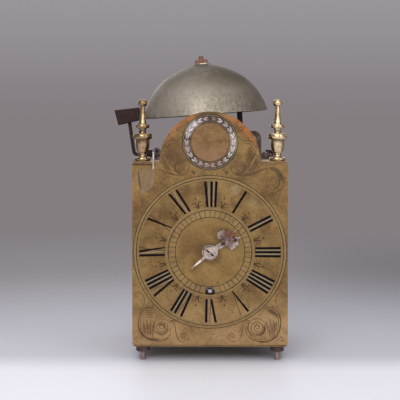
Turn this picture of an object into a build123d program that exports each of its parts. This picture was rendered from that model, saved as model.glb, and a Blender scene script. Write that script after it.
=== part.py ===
from build123d import *
import math
import os

os.makedirs("parts", exist_ok=True)

# A spring-driven lantern clock: four turned posts between two plates, a break-arch engraved
# dial, a bell on a forged strap and a hammer beside it.  Millimetres, +Z up, the viewer
# looks along +Y.  The origin is the centre of the four feet, on the surface they stand on.

# ---- fits --------------------------------------------------------------------------
running = 0.05          # radial room of a shaft that turns in a hole
seated = 0.03           # radial room of a tenon or screw in its hole
free = 0.4              # room beside a part that swings
leaf_room = 0.35        # room between a moving blade and what it passes

# ---- case --------------------------------------------------------------------------
post_spacing = 136.0    # between post axes, both across and front to back
plate_overhang = 9.0    # from a post axis to the plate's edge
plate_thick = 2.5
case_height = 181.8     # clear height between the plates
stub_radius = 2.65      # the stubs that the clock stands on
stub_length = 8.9
foot_tenon_radius = 3.1     # of a post where it runs through the bottom plate and collar
tenon_radius = 2.4      # of its upper tenon
collar_height = 5.8
collar_radius = 7.1
post_base_radius = 6.5
post_band = 3.0         # plain band at each end of a post
post_torus = 3.0        # height of the torus above the foot's band
post_cove = 1.5         # of the cone from the torus to the shaft
head_cone = 2.5         # of the cone under the head's band
head_bead = 2.0         # of the bead below it
head_bead_drop = 3.5    # between that cone and the bead
collar_bevel = 0.8
post_torus_radius = 5.8
post_shaft_radius = 4.3
post_neck_radius = 3.9
upper_tenon = 8.0       # how far a tenon stands above the top plate

post_at = post_spacing / 2
plate_half = post_at + plate_overhang
bottom_under = stub_length + collar_height
bottom_top = bottom_under + plate_thick
top_under = bottom_top + case_height
top_top = top_under + plate_thick
corners = [(sx * post_at, sy * post_at) for sy in (-1, 1) for sx in (-1, 1)]

# ---- dial --------------------------------------------------------------------------
dial_width = 156.0
dial_thick = 2.0
dial_gap = 0.5        # the dial's back stands this far in front of the plates' front edges
dial_foot = 17.0        # lower edge of the dial above the ground
shoulder_drop = 2.4     # dial shoulders below the top plate's upper face
arch_radius = 50.5
arch_drop = 0.9         # centre of the arch below that face
centre_height = 110.4   # hand centre above the ground
winding_drop = 39.8     # winding hole below the hand centre
winding_hole_radius = 4.85
roundel_rise = 19.9     # roundel above the centre of the arch
boss_radius = 19.8
boss_thick = 1.5
boss_bevel = 0.7
ring_outer = 27.6
ring_thick = 1.2
ring_lip = 0.5          # the ring's raised rims: height, width and width at the foot
ring_lip_width = 0.9
ring_lip_foot = 1.4
ring_corner = 0.3

dial_back = -plate_half - dial_gap
dial_front = dial_back - dial_thick
shoulder_height = top_top - shoulder_drop
arch_centre = top_top - arch_drop
roundel_height = arch_centre + roundel_rise
winding_height = centre_height - winding_drop

# ---- finials -----------------------------------------------------------------------
finial_disc_radius = 8.4
finial_disc_height = 3.5
finial_disc_round = 0.6     # how far the middle of its edge swells
finial_foot_radius = 3.9
finial_foot_top = 9.3
foot_flare_low = 1.2    # how far the waisted foot spreads at its ends
foot_flare_high = 0.9
vase_low_radius = 5.5
vase_high_radius = 7.35
vase_top = 21.8
vase_bow = 0.3          # the vase's side, in from its upper radius
vase_bow_rise = 1.0     # and above its middle
big_ring_radius = 9.9
big_ring_round = 1.6
big_ring_top = 27.6
finial_neck_radius = 3.6
finial_neck_flare = 0.6
finial_neck_top = 33.0
small_ring_radius = 7.2
small_ring_round = 1.0
small_ring_top = 36.9
stem_low_radius = 3.9
stem_high_radius = 2.4
stem_waist = 0.3
stem_top = 55.0
ball_radius = 5.0
ball_half_height = 3.8
ball_steps = 6          # points along the ball's side

# ---- rear nuts ---------------------------------------------------------------------
nut_across = 9.0
nut_height = 5.7
nut_flange_radius = 6.6
nut_flange_thick = 2.3

# ---- doors and back ----------------------------------------------------------------
door_thick = 1.2
door_inset = 1.6        # middle of a door's panel from the plates' edge
hinge_inset = 4.6       # hinge pins from the plates' rear edge
hinge_knuckle_radius = 1.4
hinge_pin_radius = 0.7
door_knob_radius = 3.2
door_knob_stand = 2.0
door_knob_inset = 8.0
knob_shank = 1.2
knob_neck_low = 0.8     # how far the neck stands round the shank at the door
knob_neck_high = 0.5
knob_neck_length = 0.8
knob_back = 1.0         # the button's rear and front edges, out from the door
knob_rim = 1.4
knob_crown = 1.86       # a point of its rounded face
knob_crown_radius = 2.3
door_gap = 0.6          # from the dial's back to a door's front edge
back_tab_width = 14.0
back_tab_at = 45.0
back_margin = 1.0       # back plate in from the plates' side edges

door_axis = plate_half - door_inset
hinge_depth = plate_half - hinge_inset

# ---- movement frame ----------------------------------------------------------------
movement_set_back = 15.5    # front movement plate behind the dial
movement_depth = 50.0   # over both movement plates
movement_plate = 2.0
movement_half = 47.0
movement_above = 15.25  # movement plates above the pallet arbor
movement_corner = 8.0
pillar_inset_x = 7.0
pillar_inset_low = 12.8
pillar_inset_high = 8.0
pillar_radius = 3.4
pillar_end_radius = 4.6
pillar_end_length = 4.0
pillar_rivet_radius = 2.0
pillar_waist = 0.8      # how far a pillar thins towards its ends
pillar_cone = 1.5
dial_foot_radius = 2.2
dial_foot_tip = 1.6
dial_foot_beyond = 3.0  # a dial foot's tip beyond the movement plate
dial_foot_x = 33.0
dial_foot_drop = 58.4   # lower dial feet below the hand centre
dial_foot_rise = 49.6   # upper dial feet above it
bracket_leg = 12.0
bracket_thick = 2.0
bracket_length = 60.0

movement_front = dial_back + movement_set_back
movement_back = movement_front + movement_depth
pillar_x = movement_half - pillar_inset_x
dial_foot_low = centre_height - dial_foot_drop
dial_foot_high = centre_height + dial_foot_rise
front_inner = movement_front + movement_plate
back_inner = movement_back - movement_plate

# ---- going train -------------------------------------------------------------------
wheel_teeth = 72
leaf_count = 6
centre_to_third = 25.0
third_to_escape = 22.75
third_angle = 45.0      # of the third arbor around the hand centre, from +X
escape_teeth = 36
escape_radius = 15.0
wheel_rim = 2.6         # rim, hub and spokes of the crossed wheels
fine_rim = 2.4
escape_rim = 1.8
centre_hub = 5.0
third_hub = 4.4
escape_hub = 3.6
escape_spoke = 1.6
spokes = 4
leaf_overlap = 2.0      # a pinion's leaves beyond the wheel that they meet
pallet_room = 1.5       # round the pallet arbor in the rear plate
teeth_spanned = 8.5     # escape teeth between the two pallets
wheel_thick = 1.5
great_thick = 2.5
centre_set_back = 11.5  # centre wheel behind the front movement plate
third_set_forward = 14.5    # third wheel before the rear movement plate
escape_set_forward = 6.5
arbor_radius = 1.5
pivot_radius = 0.9
winding_radius = 3.0
winding_pivot_radius = 2.2
winding_square = 3.6    # across the flats of the winding end
winding_end_back = 1.0  # the square ends this far behind the dial
square_stand = 3.0      # the square begins this far before the ratchet
square_bevel = 0.4
drum_radius = 28.0
drum_wall = 1.5
drum_length = 26.0
cap_bevel = 0.5
barrel_set_back = 14.0  # barrel behind the front movement plate
mainspring_thick = 0.9
mainspring_turns = 6
mainspring_hook = 2.5   # from the winding arbor to the first coil
ratchet_teeth = 24
ratchet_radius = 13.0
ratchet_depth = 1.8
ratchet_thick = 2.0
ratchet_room = 0.6      # from the movement's front plate
ratchet_land = 1.5      # degrees across a tooth's tip

escape_step = 360 / escape_teeth
pallet_angle = escape_step * teeth_spanned / 2
centre_x = 0.0
third_x = centre_to_third * math.cos(math.radians(third_angle))
third_height = centre_height + centre_to_third * math.sin(math.radians(third_angle))
escape_x = 0.0
escape_height = third_height + math.sqrt(third_to_escape**2 - (third_x - escape_x) ** 2)
pallet_height = escape_height + escape_radius / math.cos(math.radians(pallet_angle))
movement_top = pallet_height + movement_above
pillar_low = bottom_top + pillar_inset_low
pillar_high = movement_top - pillar_inset_high
barrel_front = front_inner + barrel_set_back

# ---- motion work -------------------------------------------------------------------
motion_distance = 18.0
minute_stud_angle = 150.0
cannon_teeth = 24
minute_wheel_teeth = 36
minute_leaves = 8
hour_wheel_teeth = 64
motion_thick = 1.5
motion_room = 2.0       # from the movement's front plate to the cannon wheel
motion_step = 2.4       # from that face to the hour wheel's rear face
cannon_pipe = 2.4
hour_pipe = 3.4
minute_stud_radius = 1.5
minute_pivot_radius = 1.0   # of the stud inside the minute wheel
hour_hub = 5.4
minute_leaf_beyond = 0.5    # its leaves beyond the hour wheel's front face
stud_shoulder = 1.0     # of the minute stud: how far it stands out
stud_face_room = 0.2    # and its room behind the minute wheel
stud_beyond = 1.6       # the stud's end beyond the hour wheel

# ---- hands -------------------------------------------------------------------------
minute_angle = 49.0     # clockwise from XII
hour_angle = 63.0
hand_length = 35.2
hand_thick = 1.0
hand_shaft_root = 1.6   # half widths
hand_shaft_tip = 1.0
hub_radius = 7.8
minute_hub_radius = 5.8
hour_hand_stand = 2.0   # the hour hand's back in front of the dial
hand_space = 0.8        # between the two hands
minute_tail = 24.0
collet_radius = 4.2
collet_thick = 1.6
collet_lip = 0.8        # the collet's flat face round the arbor
collet_dome_radius = 3.44   # a point of its domed edge
collet_dome = 1.12
arbor_beyond = 3.0      # the centre arbor's end in front of the collet
arbor_bevel = 0.4
arbor_bevel_length = 0.6
taper_pin_radius = 0.75
taper_pin_length = 13.0
taper_pin_angle = -42.0

# ---- pendulum ----------------------------------------------------------------------
pendulum_length = 119.8
pendulum_back = 13.0    # rod axis behind the rear movement plate
rod_radius = 1.1
rod_below = 6.0         # rod below the bob
rod_top_drop = 2.6      # rod's upper end below the pallet arbor
rod_boss_radius = 3.4   # the boss that holds it to that arbor
rod_boss = 4.0
bob_radius = 10.5
bob_foot_radius = 4.0
bob_neck_radius = 5.2
bob_top_radius = 2.6
bob_top = 15.0          # top of the bob's neck above the middle of its ball
bob_waist = 0.7
cock_depth = 18.0
cock_thick = 2.0
cock_half = 17.0
cock_height = 12.0
cock_post_inset = 4.0
cock_post_radius = 3.2
cock_tenon_radius = 1.2

# ---- bell --------------------------------------------------------------------------
bell_sphere = 68.1      # outer radius of the bell's curve
bell_rim_radius = 66.5
bell_wall = 2.5
bell_x = -3.9           # centre of that curve
bell_rise = 32.6        # that centre above the top plate
bell_tilt = 4.3         # degrees, right side up
bell_hole_radius = 2.7
stud_radius = 2.45
stud_above = 9.0        # stud above the crown
washer_across = 19.0
washer_thick = 0.9
bell_nut_across = 13.4
bell_nut_height = 4.2
bell_nut_bevel = 0.6

bell_z = top_top + bell_rise

# ---- bell stand --------------------------------------------------------------------
strap_thick = 5.6
strap_width = 9.0
strap_foot_inset = 11.0 # end of the strap's foot from the plate's right edge
strap_foot_length = 14.2
strap_leg_height = 27.1
strap_shoulder_length = 19.0
strap_neck_lean = 1.9
strap_bend_rise = 27.9  # bend of the neck above the centre of the bell's curve
strap_pad = 9.0
strap_collar_radius = 5.0
strap_collar = 1.8
strap_bend = 5.0
foot_screw_inset = 6.0
screw_radius = 2.0
screw_head_radius = 3.4
screw_head_height = 1.8

strap_foot_end = plate_half - strap_foot_inset
strap_leg = strap_foot_end - strap_foot_length
strap_neck_x = strap_leg - strap_shoulder_length
strap_shoulder = top_top + strap_leg_height
strap_bend_height = bell_z + strap_bend_rise
foot_screw_x = strap_foot_end - foot_screw_inset

# ---- hammer ------------------------------------------------------------------------
hammer_inset = 20.0     # hammer arbor from the plate's left edge
hammer_rise = 8.0       # and above the top plate
hammer_hub_radius = 3.6
hammer_arbor_radius = 1.5
hammer_width = 4.0
arm_thick = 3.6
arm_stand_off = 4.0     # the arm's corner outside the plate's edge
arm_drop = 3.5          # and below the hammer arbor
arm_bend = 4.0
arm_tail_rise = 0.8     # its lower limb's rise from that corner to the hub
head_rise = 32.5        # where the arm enters the head, above the arbor
strike_gap = 1.652      # from the head at rest to the bell's widest circle
hammer_head_depth = 12.0
head_length = 25.6
head_out = 13.0         # the part of the head outside the arm
head_bevel = 1.0
head_outer_top = 13.45  # the head's corners, above and below where the arm enters
head_inner_top = 12.67
head_inner_foot = 0.86
head_outer_foot = 2.95
head_top_beyond = 0.8   # its outer upper and lower corners, out and in from head_out
head_foot_short = 1.0
arm_in_head = 20.0      # length of the arm's channel
cock_room = 0.3
cock_wall = 3.0
cock_foot = 9.0
cock_foot_thick = 2.4
cock_rim = 0.4          # a cock's eye beyond the hammer's hub
cock_screw_inset = 3.0  # its screw from the cock's cheek
cock_screw_radius = 1.2
cock_screw_head_radius = 2.3
spring_thick = 0.8
spring_reach = 21.0     # hammer spring's root beyond the hammer arbor
spring_flat = 12.0      # its part that lies on the plate
spring_bow_x = 2.0      # a point of its curve, beyond the arbor and above the plate
spring_bow = 0.5
spring_tip_x = 14.0     # its tip beyond the arbor
spring_touch = 0.2      # and its overlap with the arm's line; also its inset at each side
notch_room = 1.2
notch_depth = 12.0

hammer_x = -plate_half + hammer_inset
hammer_z = top_top + hammer_rise
arm_corner_x = -plate_half - arm_stand_off
arm_corner_z = hammer_z - arm_drop
head_height = hammer_z + head_rise
head_in = head_length - head_out
arm_top_x = bell_x - bell_sphere - head_in - strike_gap
lean = math.atan2(arm_corner_x - arm_top_x, head_height - arm_corner_z)
spring_root = hammer_x + spring_reach


# ---- helpers -----------------------------------------------------------------------
def facing(y, x=0.0, z=0.0, turn=0.0):
    """Plane at depth y that faces the viewer, local Y up, turned clockwise as seen."""
    a = math.radians(turn)
    return Plane(origin=(x, y, z), x_dir=(math.cos(a), 0, -math.sin(a)), z_dir=(0, -1, 0))


def lying(x, z):
    """Plane through an arbor that runs front to back: local X is across, local Y is depth."""
    return Plane(origin=(x, 0, z), x_dir=(1, 0, 0), z_dir=(0, 0, 1))


def upright(x, y, z=0.0):
    """Plane through a post's axis: local X is outward, local Y is height."""
    return Plane(origin=(x, y, z), x_dir=(1, 0, 0), z_dir=(0, -1, 0))


def arbor_axis(x, z):
    return Axis((x, 0, z), (0, 1, 0))


def post_axis(x, y):
    return Axis((x, y, 0), (0, 0, 1))


def save(part, node):
    """Label a finished piece and write it."""
    part.label = node
    export_step(part, f"parts/{node}.step")


def polar(radius, degrees):
    a = math.radians(degrees)
    return (radius * math.cos(a), radius * math.sin(a))


def gear_outline(teeth, module, start, addendum, dedendum, width, tip):
    """Corners of a toothed wheel.  start is the angle of one tooth; width and tip are its
    shares of the pitch on the pitch circle and at the top."""
    pitch_radius = teeth * module / 2
    step = 360 / teeth
    corners_of_tooth = (
        (pitch_radius - dedendum * module, -width / 2),
        (pitch_radius, -width / 2),
        (pitch_radius + addendum * module, -tip / 2),
        (pitch_radius + addendum * module, tip / 2),
        (pitch_radius, width / 2),
        (pitch_radius - dedendum * module, width / 2),
    )
    points = []
    for tooth in range(teeth):
        middle = start + tooth * step
        points += [polar(r, middle + share * step) for r, share in corners_of_tooth]
    return points


wheel_form = dict(addendum=0.90, dedendum=1.35, width=0.42, tip=0.18)
leaf_form = dict(addendum=0.75, dedendum=1.25, width=0.36, tip=0.16)


def crossed_wheel(y, x, z, outline, thick, rim, hub, bore, spokes, spoke_width):
    """A thin wheel with crossings between its rim and hub, its rear face at depth y."""
    with BuildPart() as wheel:
        with BuildSketch(facing(y, x, z)):
            with BuildLine():
                Polyline(*outline, close=True)
            make_face()
            Circle(bore, mode=Mode.SUBTRACT)
        extrude(amount=thick)
        with BuildSketch(facing(y, x, z)):
            Circle(rim)
            Circle(hub, mode=Mode.SUBTRACT)
            with PolarLocations(0, spokes):
                Rectangle(2 * rim, spoke_width, align=(Align.MIN, Align.CENTER), mode=Mode.SUBTRACT)
        extrude(amount=thick, mode=Mode.SUBTRACT)
    return wheel.part


def arbor_with_pinion(x, z, front, back, leaves, module, leaf_start, leaf_front, leaf_back):
    """A pivoted arbor with its leaves cut on it, running from front to back."""
    with BuildPart() as arbor:
        with BuildSketch(lying(x, z)):
            with BuildLine():
                Polyline(
                    (0, front),
                    (pivot_radius, front),
                    (pivot_radius, front + movement_plate + free),
                    (arbor_radius, front + movement_plate + free),
                    (arbor_radius, back - movement_plate - free),
                    (pivot_radius, back - movement_plate - free),
                    (pivot_radius, back),
                    (0, back),
                    close=True,
                )
            make_face()
        revolve(axis=arbor_axis(x, z))
        with BuildSketch(facing(leaf_back, x, z)):
            with BuildLine():
                Polyline(*gear_outline(leaves, module, leaf_start, **leaf_form), close=True)
            make_face()
        extrude(amount=leaf_back - leaf_front)
    return arbor.part


# ---- plates ------------------------------------------------------------------------
notch_half = hammer_width / 2 + notch_room


def plate(under, post_hole, notched):
    """A square plate with holes for the posts, the door pins and the back's tabs.  The top
    one is notched at its left edge for the hammer's arm."""
    with BuildPart() as square:
        with BuildSketch(Plane.XY.offset(under)):
            RectangleRounded(2 * plate_half, 2 * plate_half, 1.0)
            with Locations(*corners):
                Circle(post_hole, mode=Mode.SUBTRACT)
            with Locations(*[(side * door_axis, hinge_depth) for side in (-1, 1)]):
                Circle(hinge_pin_radius + running, mode=Mode.SUBTRACT)
            with Locations(*[(side * back_tab_at, door_axis) for side in (-1, 1)]):
                Rectangle(
                    back_tab_width + 2 * seated, door_thick + 2 * seated, mode=Mode.SUBTRACT
                )
            if notched:
                with Locations((-plate_half, 0)):
                    Rectangle(2 * notch_depth, 2 * notch_half, mode=Mode.SUBTRACT)
        extrude(amount=plate_thick)
    return square.part


save(plate(bottom_under, foot_tenon_radius + seated, False), "bottom_plate")
save(plate(top_under, tenon_radius + seated, True), "top_plate")


# ---- posts, feet, finials and rear nuts --------------------------------------------
def post(x, y):
    """A turned post with moulded ends, its tenons running through both plates."""
    low = bottom_top
    high = top_under
    torus_low = low + post_band
    torus_high = torus_low + post_torus
    cone = high - post_band - head_cone
    bead_high = cone - head_bead_drop
    bead_low = bead_high - head_bead
    with BuildPart() as column:
        with BuildSketch(upright(x, y)):
            with BuildLine():
                Polyline(
                    (0, 0),
                    (stub_radius, 0),
                    (stub_radius, stub_length),
                    (foot_tenon_radius, stub_length),
                    (foot_tenon_radius, low),
                    (post_base_radius, low),
                    (post_base_radius, torus_low),
                    (post_torus_radius, torus_low),
                )
                ThreePointArc(
                    (post_torus_radius, torus_low),
                    (post_base_radius, torus_low + post_torus / 2),
                    (post_torus_radius, torus_high),
                )
                Polyline(
                    (post_torus_radius, torus_high),
                    (post_shaft_radius, torus_high + post_cove),
                    (post_neck_radius, bead_low),
                )
                ThreePointArc(
                    (post_neck_radius, bead_low),
                    (post_torus_radius, bead_low + head_bead / 2),
                    (post_neck_radius, bead_high),
                )
                Polyline(
                    (post_neck_radius, bead_high),
                    (post_neck_radius, cone),
                    (post_torus_radius, high - post_band),
                    (post_base_radius, high - post_band),
                    (post_base_radius, high),
                    (tenon_radius, high),
                    (tenon_radius, top_top + upper_tenon),
                    (0, top_top + upper_tenon),
                    (0, 0),
                )
            make_face()
        revolve(axis=post_axis(x, y))
    return column.part


post_names = ["post_front_left", "post_front_right", "post_rear_left", "post_rear_right"]
for (x, y), name in zip(corners, post_names):
    save(post(x, y), name)

with BuildPart() as foot_collars:
    with BuildSketch(Plane.XY.offset(stub_length)):
        with Locations(*corners):
            Circle(collar_radius)
        with Locations(*corners):
            Circle(foot_tenon_radius + seated, mode=Mode.SUBTRACT)
    extrude(amount=collar_height)
    rounds = foot_collars.edges().filter_by(GeomType.CIRCLE)
    chamfer(rounds.filter_by(lambda e: abs(e.radius - collar_radius) < seated), collar_bevel)
save(foot_collars.part, "foot_collars")


def finial(x, y):
    """A vase finial: disc, waisted foot, vase, two collars, tapering stem and ball."""
    disc = finial_disc_height
    bore = tenon_radius + seated
    ball_share = math.acos(stem_high_radius / ball_radius)
    ball_centre = stem_top + ball_half_height * math.sin(ball_share)
    tip = ball_centre + ball_half_height
    ball_side = []
    for step in range(ball_steps):
        share = -ball_share + (math.pi / 2 + ball_share) * step / ball_steps
        ball_side.append((
            ball_radius * math.cos(share),
            ball_centre + ball_half_height * math.sin(share),
        ))
    with BuildPart() as turned:
        with BuildSketch(upright(x, y, top_top)):
            with BuildLine():
                Polyline(
                    (0, upper_tenon + seated),
                    (bore, upper_tenon + seated),
                    (bore, 0),
                    (finial_disc_radius - finial_disc_round, 0),
                )
                ThreePointArc(
                    (finial_disc_radius - finial_disc_round, 0),
                    (finial_disc_radius, disc / 2),
                    (finial_disc_radius - finial_disc_round, disc),
                )
                Line(
                    (finial_disc_radius - finial_disc_round, disc),
                    (finial_foot_radius + foot_flare_low, disc),
                )
                ThreePointArc(
                    (finial_foot_radius + foot_flare_low, disc),
                    (finial_foot_radius, (disc + finial_foot_top) / 2),
                    (finial_foot_radius + foot_flare_high, finial_foot_top),
                )
                Line(
                    (finial_foot_radius + foot_flare_high, finial_foot_top),
                    (vase_low_radius, finial_foot_top),
                )
                ThreePointArc(
                    (vase_low_radius, finial_foot_top),
                    (vase_high_radius - vase_bow, (finial_foot_top + vase_top) / 2 + vase_bow_rise),
                    (vase_high_radius, vase_top),
                )
                Line((vase_high_radius, vase_top), (big_ring_radius - big_ring_round, vase_top))
                ThreePointArc(
                    (big_ring_radius - big_ring_round, vase_top),
                    (big_ring_radius, (vase_top + big_ring_top) / 2),
                    (big_ring_radius - big_ring_round, big_ring_top),
                )
                Line(
                    (big_ring_radius - big_ring_round, big_ring_top),
                    (finial_neck_radius + finial_neck_flare, big_ring_top),
                )
                ThreePointArc(
                    (finial_neck_radius + finial_neck_flare, big_ring_top),
                    (finial_neck_radius, (big_ring_top + finial_neck_top) / 2),
                    (finial_neck_radius + finial_neck_flare, finial_neck_top),
                )
                Line(
                    (finial_neck_radius + finial_neck_flare, finial_neck_top),
                    (small_ring_radius - small_ring_round, finial_neck_top),
                )
                ThreePointArc(
                    (small_ring_radius - small_ring_round, finial_neck_top),
                    (small_ring_radius, (finial_neck_top + small_ring_top) / 2),
                    (small_ring_radius - small_ring_round, small_ring_top),
                )
                Line(
                    (small_ring_radius - small_ring_round, small_ring_top),
                    (stem_low_radius, small_ring_top),
                )
                ThreePointArc(
                    (stem_low_radius, small_ring_top),
                    (
                        (stem_low_radius + stem_high_radius) / 2 - stem_waist,
                        (small_ring_top + stem_top) / 2,
                    ),
                    (stem_high_radius, stem_top),
                )
                Spline(*ball_side, (0, tip))
                Line((0, tip), (0, upper_tenon + seated))
            make_face()
        revolve(axis=post_axis(x, y))
    return turned.part


save(finial(-post_at, -post_at), "finial_left")
save(finial(post_at, -post_at), "finial_right")

rear_corners = [(-post_at, post_at), (post_at, post_at)]

with BuildPart() as rear_nuts:
    with BuildSketch(Plane.XY.offset(top_top)):
        with Locations(*rear_corners):
            Circle(nut_flange_radius)
    extrude(amount=nut_flange_thick)
    with BuildSketch(Plane.XY.offset(top_top + nut_flange_thick)):
        with Locations(*rear_corners):
            RegularPolygon(nut_across / 2, 6, major_radius=False)
    extrude(amount=nut_height)
    with BuildSketch(Plane.XY.offset(top_top)):
        with Locations(*rear_corners):
            Circle(tenon_radius + seated)
    extrude(amount=nut_flange_thick + nut_height, mode=Mode.SUBTRACT)
save(rear_nuts.part, "rear_nuts")

# ---- dial, boss and ring -----------------------------------------------------------
foot_points = [
    (side * dial_foot_x, height) for side in (-1, 1) for height in (dial_foot_low, dial_foot_high)
]
wire_inset = 11.4       # the bright wire beside the arch, in from the left post
wire_radius = 0.8
wire_below = 7.9        # its ends below and above the top plate
wire_above = 8.7
wire_stand = 1.2
wire_x = -post_at + wire_inset
wire_low = top_top - wire_below
wire_high = top_top + wire_above

with BuildPart() as dial_plate:
    with BuildSketch(facing(dial_back)):
        with Locations((0, (dial_foot + shoulder_height) / 2)):
            Rectangle(dial_width, shoulder_height - dial_foot)
        with Locations((0, arch_centre)):
            Circle(arch_radius)
        with Locations((0, centre_height)):
            Circle(hour_pipe + free, mode=Mode.SUBTRACT)
        with Locations((0, winding_height)):
            Circle(winding_hole_radius, mode=Mode.SUBTRACT)
    extrude(amount=dial_thick)
save(dial_plate.part, "dial_plate")

with BuildPart() as arch_boss:
    with BuildSketch(facing(dial_front, 0, roundel_height)):
        Circle(boss_radius)
    extrude(amount=boss_thick)
    chamfer(arch_boss.faces().sort_by(Axis.Y)[0].edges(), boss_bevel)
save(arch_boss.part, "arch_boss")

with BuildPart() as husk_ring:
    with BuildSketch(lying(0, roundel_height)):
        with BuildLine():
            Polyline(
                (boss_radius + seated, dial_front),
                (boss_radius + seated, dial_front - ring_thick - ring_lip),
                (boss_radius + ring_lip_width, dial_front - ring_thick - ring_lip),
                (boss_radius + ring_lip_foot, dial_front - ring_thick),
                (ring_outer - ring_lip_foot, dial_front - ring_thick),
                (ring_outer - ring_lip_width, dial_front - ring_thick - ring_lip),
                (ring_outer - ring_corner, dial_front - ring_thick - ring_lip),
                (ring_outer, dial_front - ring_thick),
                (ring_outer, dial_front),
                close=True,
            )
        make_face()
    revolve(axis=arbor_axis(0, roundel_height))
save(husk_ring.part, "husk_ring")

with BuildPart() as dial_feet:
    with BuildSketch(facing(dial_back)):
        with Locations(*foot_points):
            Circle(dial_foot_radius)
    extrude(amount=-(movement_front - dial_back))
    with BuildSketch(facing(movement_front)):
        with Locations(*foot_points):
            Circle(dial_foot_tip)
    extrude(amount=-(movement_plate + dial_foot_beyond))
save(dial_feet.part, "dial_feet")

with BuildPart() as dial_wire:
    with BuildSketch(Plane.YZ.offset(wire_x)):
        with BuildLine():
            FilletPolyline(
                (dial_front - wire_stand, wire_low),
                (dial_front - wire_stand, wire_high),
                (dial_back + wire_stand, wire_high),
                (dial_back + wire_stand, top_top),
                radius=wire_radius,
            )
        trace(line_width=2 * wire_radius)
    extrude(amount=wire_radius, both=True)
save(dial_wire.part, "dial_wire")

# ---- doors and back ----------------------------------------------------------------
door_low = bottom_top + free
door_high = top_under - free
door_front = dial_back + door_gap
door_middle = (door_low + door_high) / 2


def door(side):
    """A side door: a thin panel rolled round its pivot pins at the rear edge."""
    x = side * door_axis
    with BuildPart() as panel:
        with BuildSketch(Plane.XY.offset(door_low)):
            with Locations((x, (hinge_depth + door_front) / 2)):
                Rectangle(door_thick, hinge_depth - door_front)
            with Locations((x, hinge_depth)):
                Circle(hinge_knuckle_radius)
        extrude(amount=door_high - door_low)
        with BuildSketch(Plane.XY.offset(bottom_under)):
            with Locations((x, hinge_depth)):
                Circle(hinge_pin_radius)
        extrude(amount=top_top - bottom_under)
        with BuildSketch(Plane.YZ.offset(x - door_thick)):
            with Locations((door_front + door_knob_inset, door_middle)):
                Circle(knob_shank + seated)
        extrude(amount=2 * door_thick, mode=Mode.SUBTRACT)
    return panel.part


def door_knob(side):
    """A low turned button with a riveted shank."""
    y = door_front + door_knob_inset
    face = door_axis + door_thick / 2
    axis = Axis((0, y, door_middle), (1, 0, 0))
    side_plane = Plane(origin=(0, y, door_middle), x_dir=(side, 0, 0), z_dir=(0, -side, 0))
    with BuildPart() as knob:
        with BuildSketch(side_plane):
            with BuildLine():
                Polyline(
                    (face - door_thick, 0),
                    (face - door_thick, knob_shank),
                    (face, knob_shank),
                    (face, knob_shank + knob_neck_low),
                    (face + knob_neck_length, knob_shank + knob_neck_high),
                    (face + knob_back, door_knob_radius),
                    (face + knob_rim, door_knob_radius),
                )
                ThreePointArc(
                    (face + knob_rim, door_knob_radius),
                    (face + knob_crown, knob_crown_radius),
                    (face + door_knob_stand, knob_shank),
                )
                Polyline(
                    (face + door_knob_stand, knob_shank),
                    (face + door_knob_stand, 0),
                    (face - door_thick, 0),
                )
            make_face()
        revolve(axis=axis)
    return knob.part


for side, word in ((-1, "left"), (1, "right")):
    save(door(side), f"{word}_door")
    save(door_knob(side), f"{word}_door_knob")

with BuildPart() as back_plate:
    with BuildSketch(Plane.XY.offset(door_low)):
        with Locations((0, door_axis)):
            Rectangle(2 * (plate_half - back_margin), door_thick)
    extrude(amount=door_high - door_low)
    with BuildSketch(Plane.XY.offset(bottom_under)):
        with Locations(*[(side * back_tab_at, door_axis) for side in (-1, 1)]):
            Rectangle(back_tab_width, door_thick)
    extrude(amount=top_top - bottom_under)
save(back_plate.part, "back_plate")

# ---- movement plates, pillars and brackets -----------------------------------------
pillar_points = [(side * pillar_x, h) for side in (-1, 1) for h in (pillar_low, pillar_high)]
plate_middle = (bottom_top + movement_top) / 2


def movement_plate_part(face, holes):
    """One movement plate with its front face at depth face; holes are (radius, points)."""
    with BuildPart() as plate:
        with BuildSketch(facing(face + movement_plate)):
            with Locations((0, plate_middle)):
                RectangleRounded(2 * movement_half, movement_top - bottom_top, movement_corner)
            with Locations((0, bottom_top + movement_corner)):
                Rectangle(2 * movement_half, 2 * movement_corner)
            with Locations(*pillar_points):
                Circle(pillar_rivet_radius + seated, mode=Mode.SUBTRACT)
            for radius, points in holes:
                with Locations(*points):
                    Circle(radius, mode=Mode.SUBTRACT)
        extrude(amount=movement_plate)
    return plate.part


minute_stud_x, stud_rise = polar(motion_distance, minute_stud_angle)
minute_stud_height = centre_height + stud_rise
ratchet_root = ratchet_radius - ratchet_depth
click_radius = 4.0
click_length = 15.0
click_stud_radius = 1.8
click_rivet_radius = 1.2
click_stud_out = 1.2    # the click's stud outside the ratchet's root circle
beak_angle = 22.5       # from +X around the winding arbor, of the tooth that the click holds


def by_tooth(out, along):
    """A point by the held tooth: out from the winding arbor and along the wheel's rim."""
    a = math.radians(beak_angle)
    return (
        out * math.cos(a) - along * math.sin(a),
        out * math.sin(a) + along * math.cos(a),
    )


click_x, click_rise = by_tooth(ratchet_root + click_stud_out, click_length)
click_height = winding_height + click_rise

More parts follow.
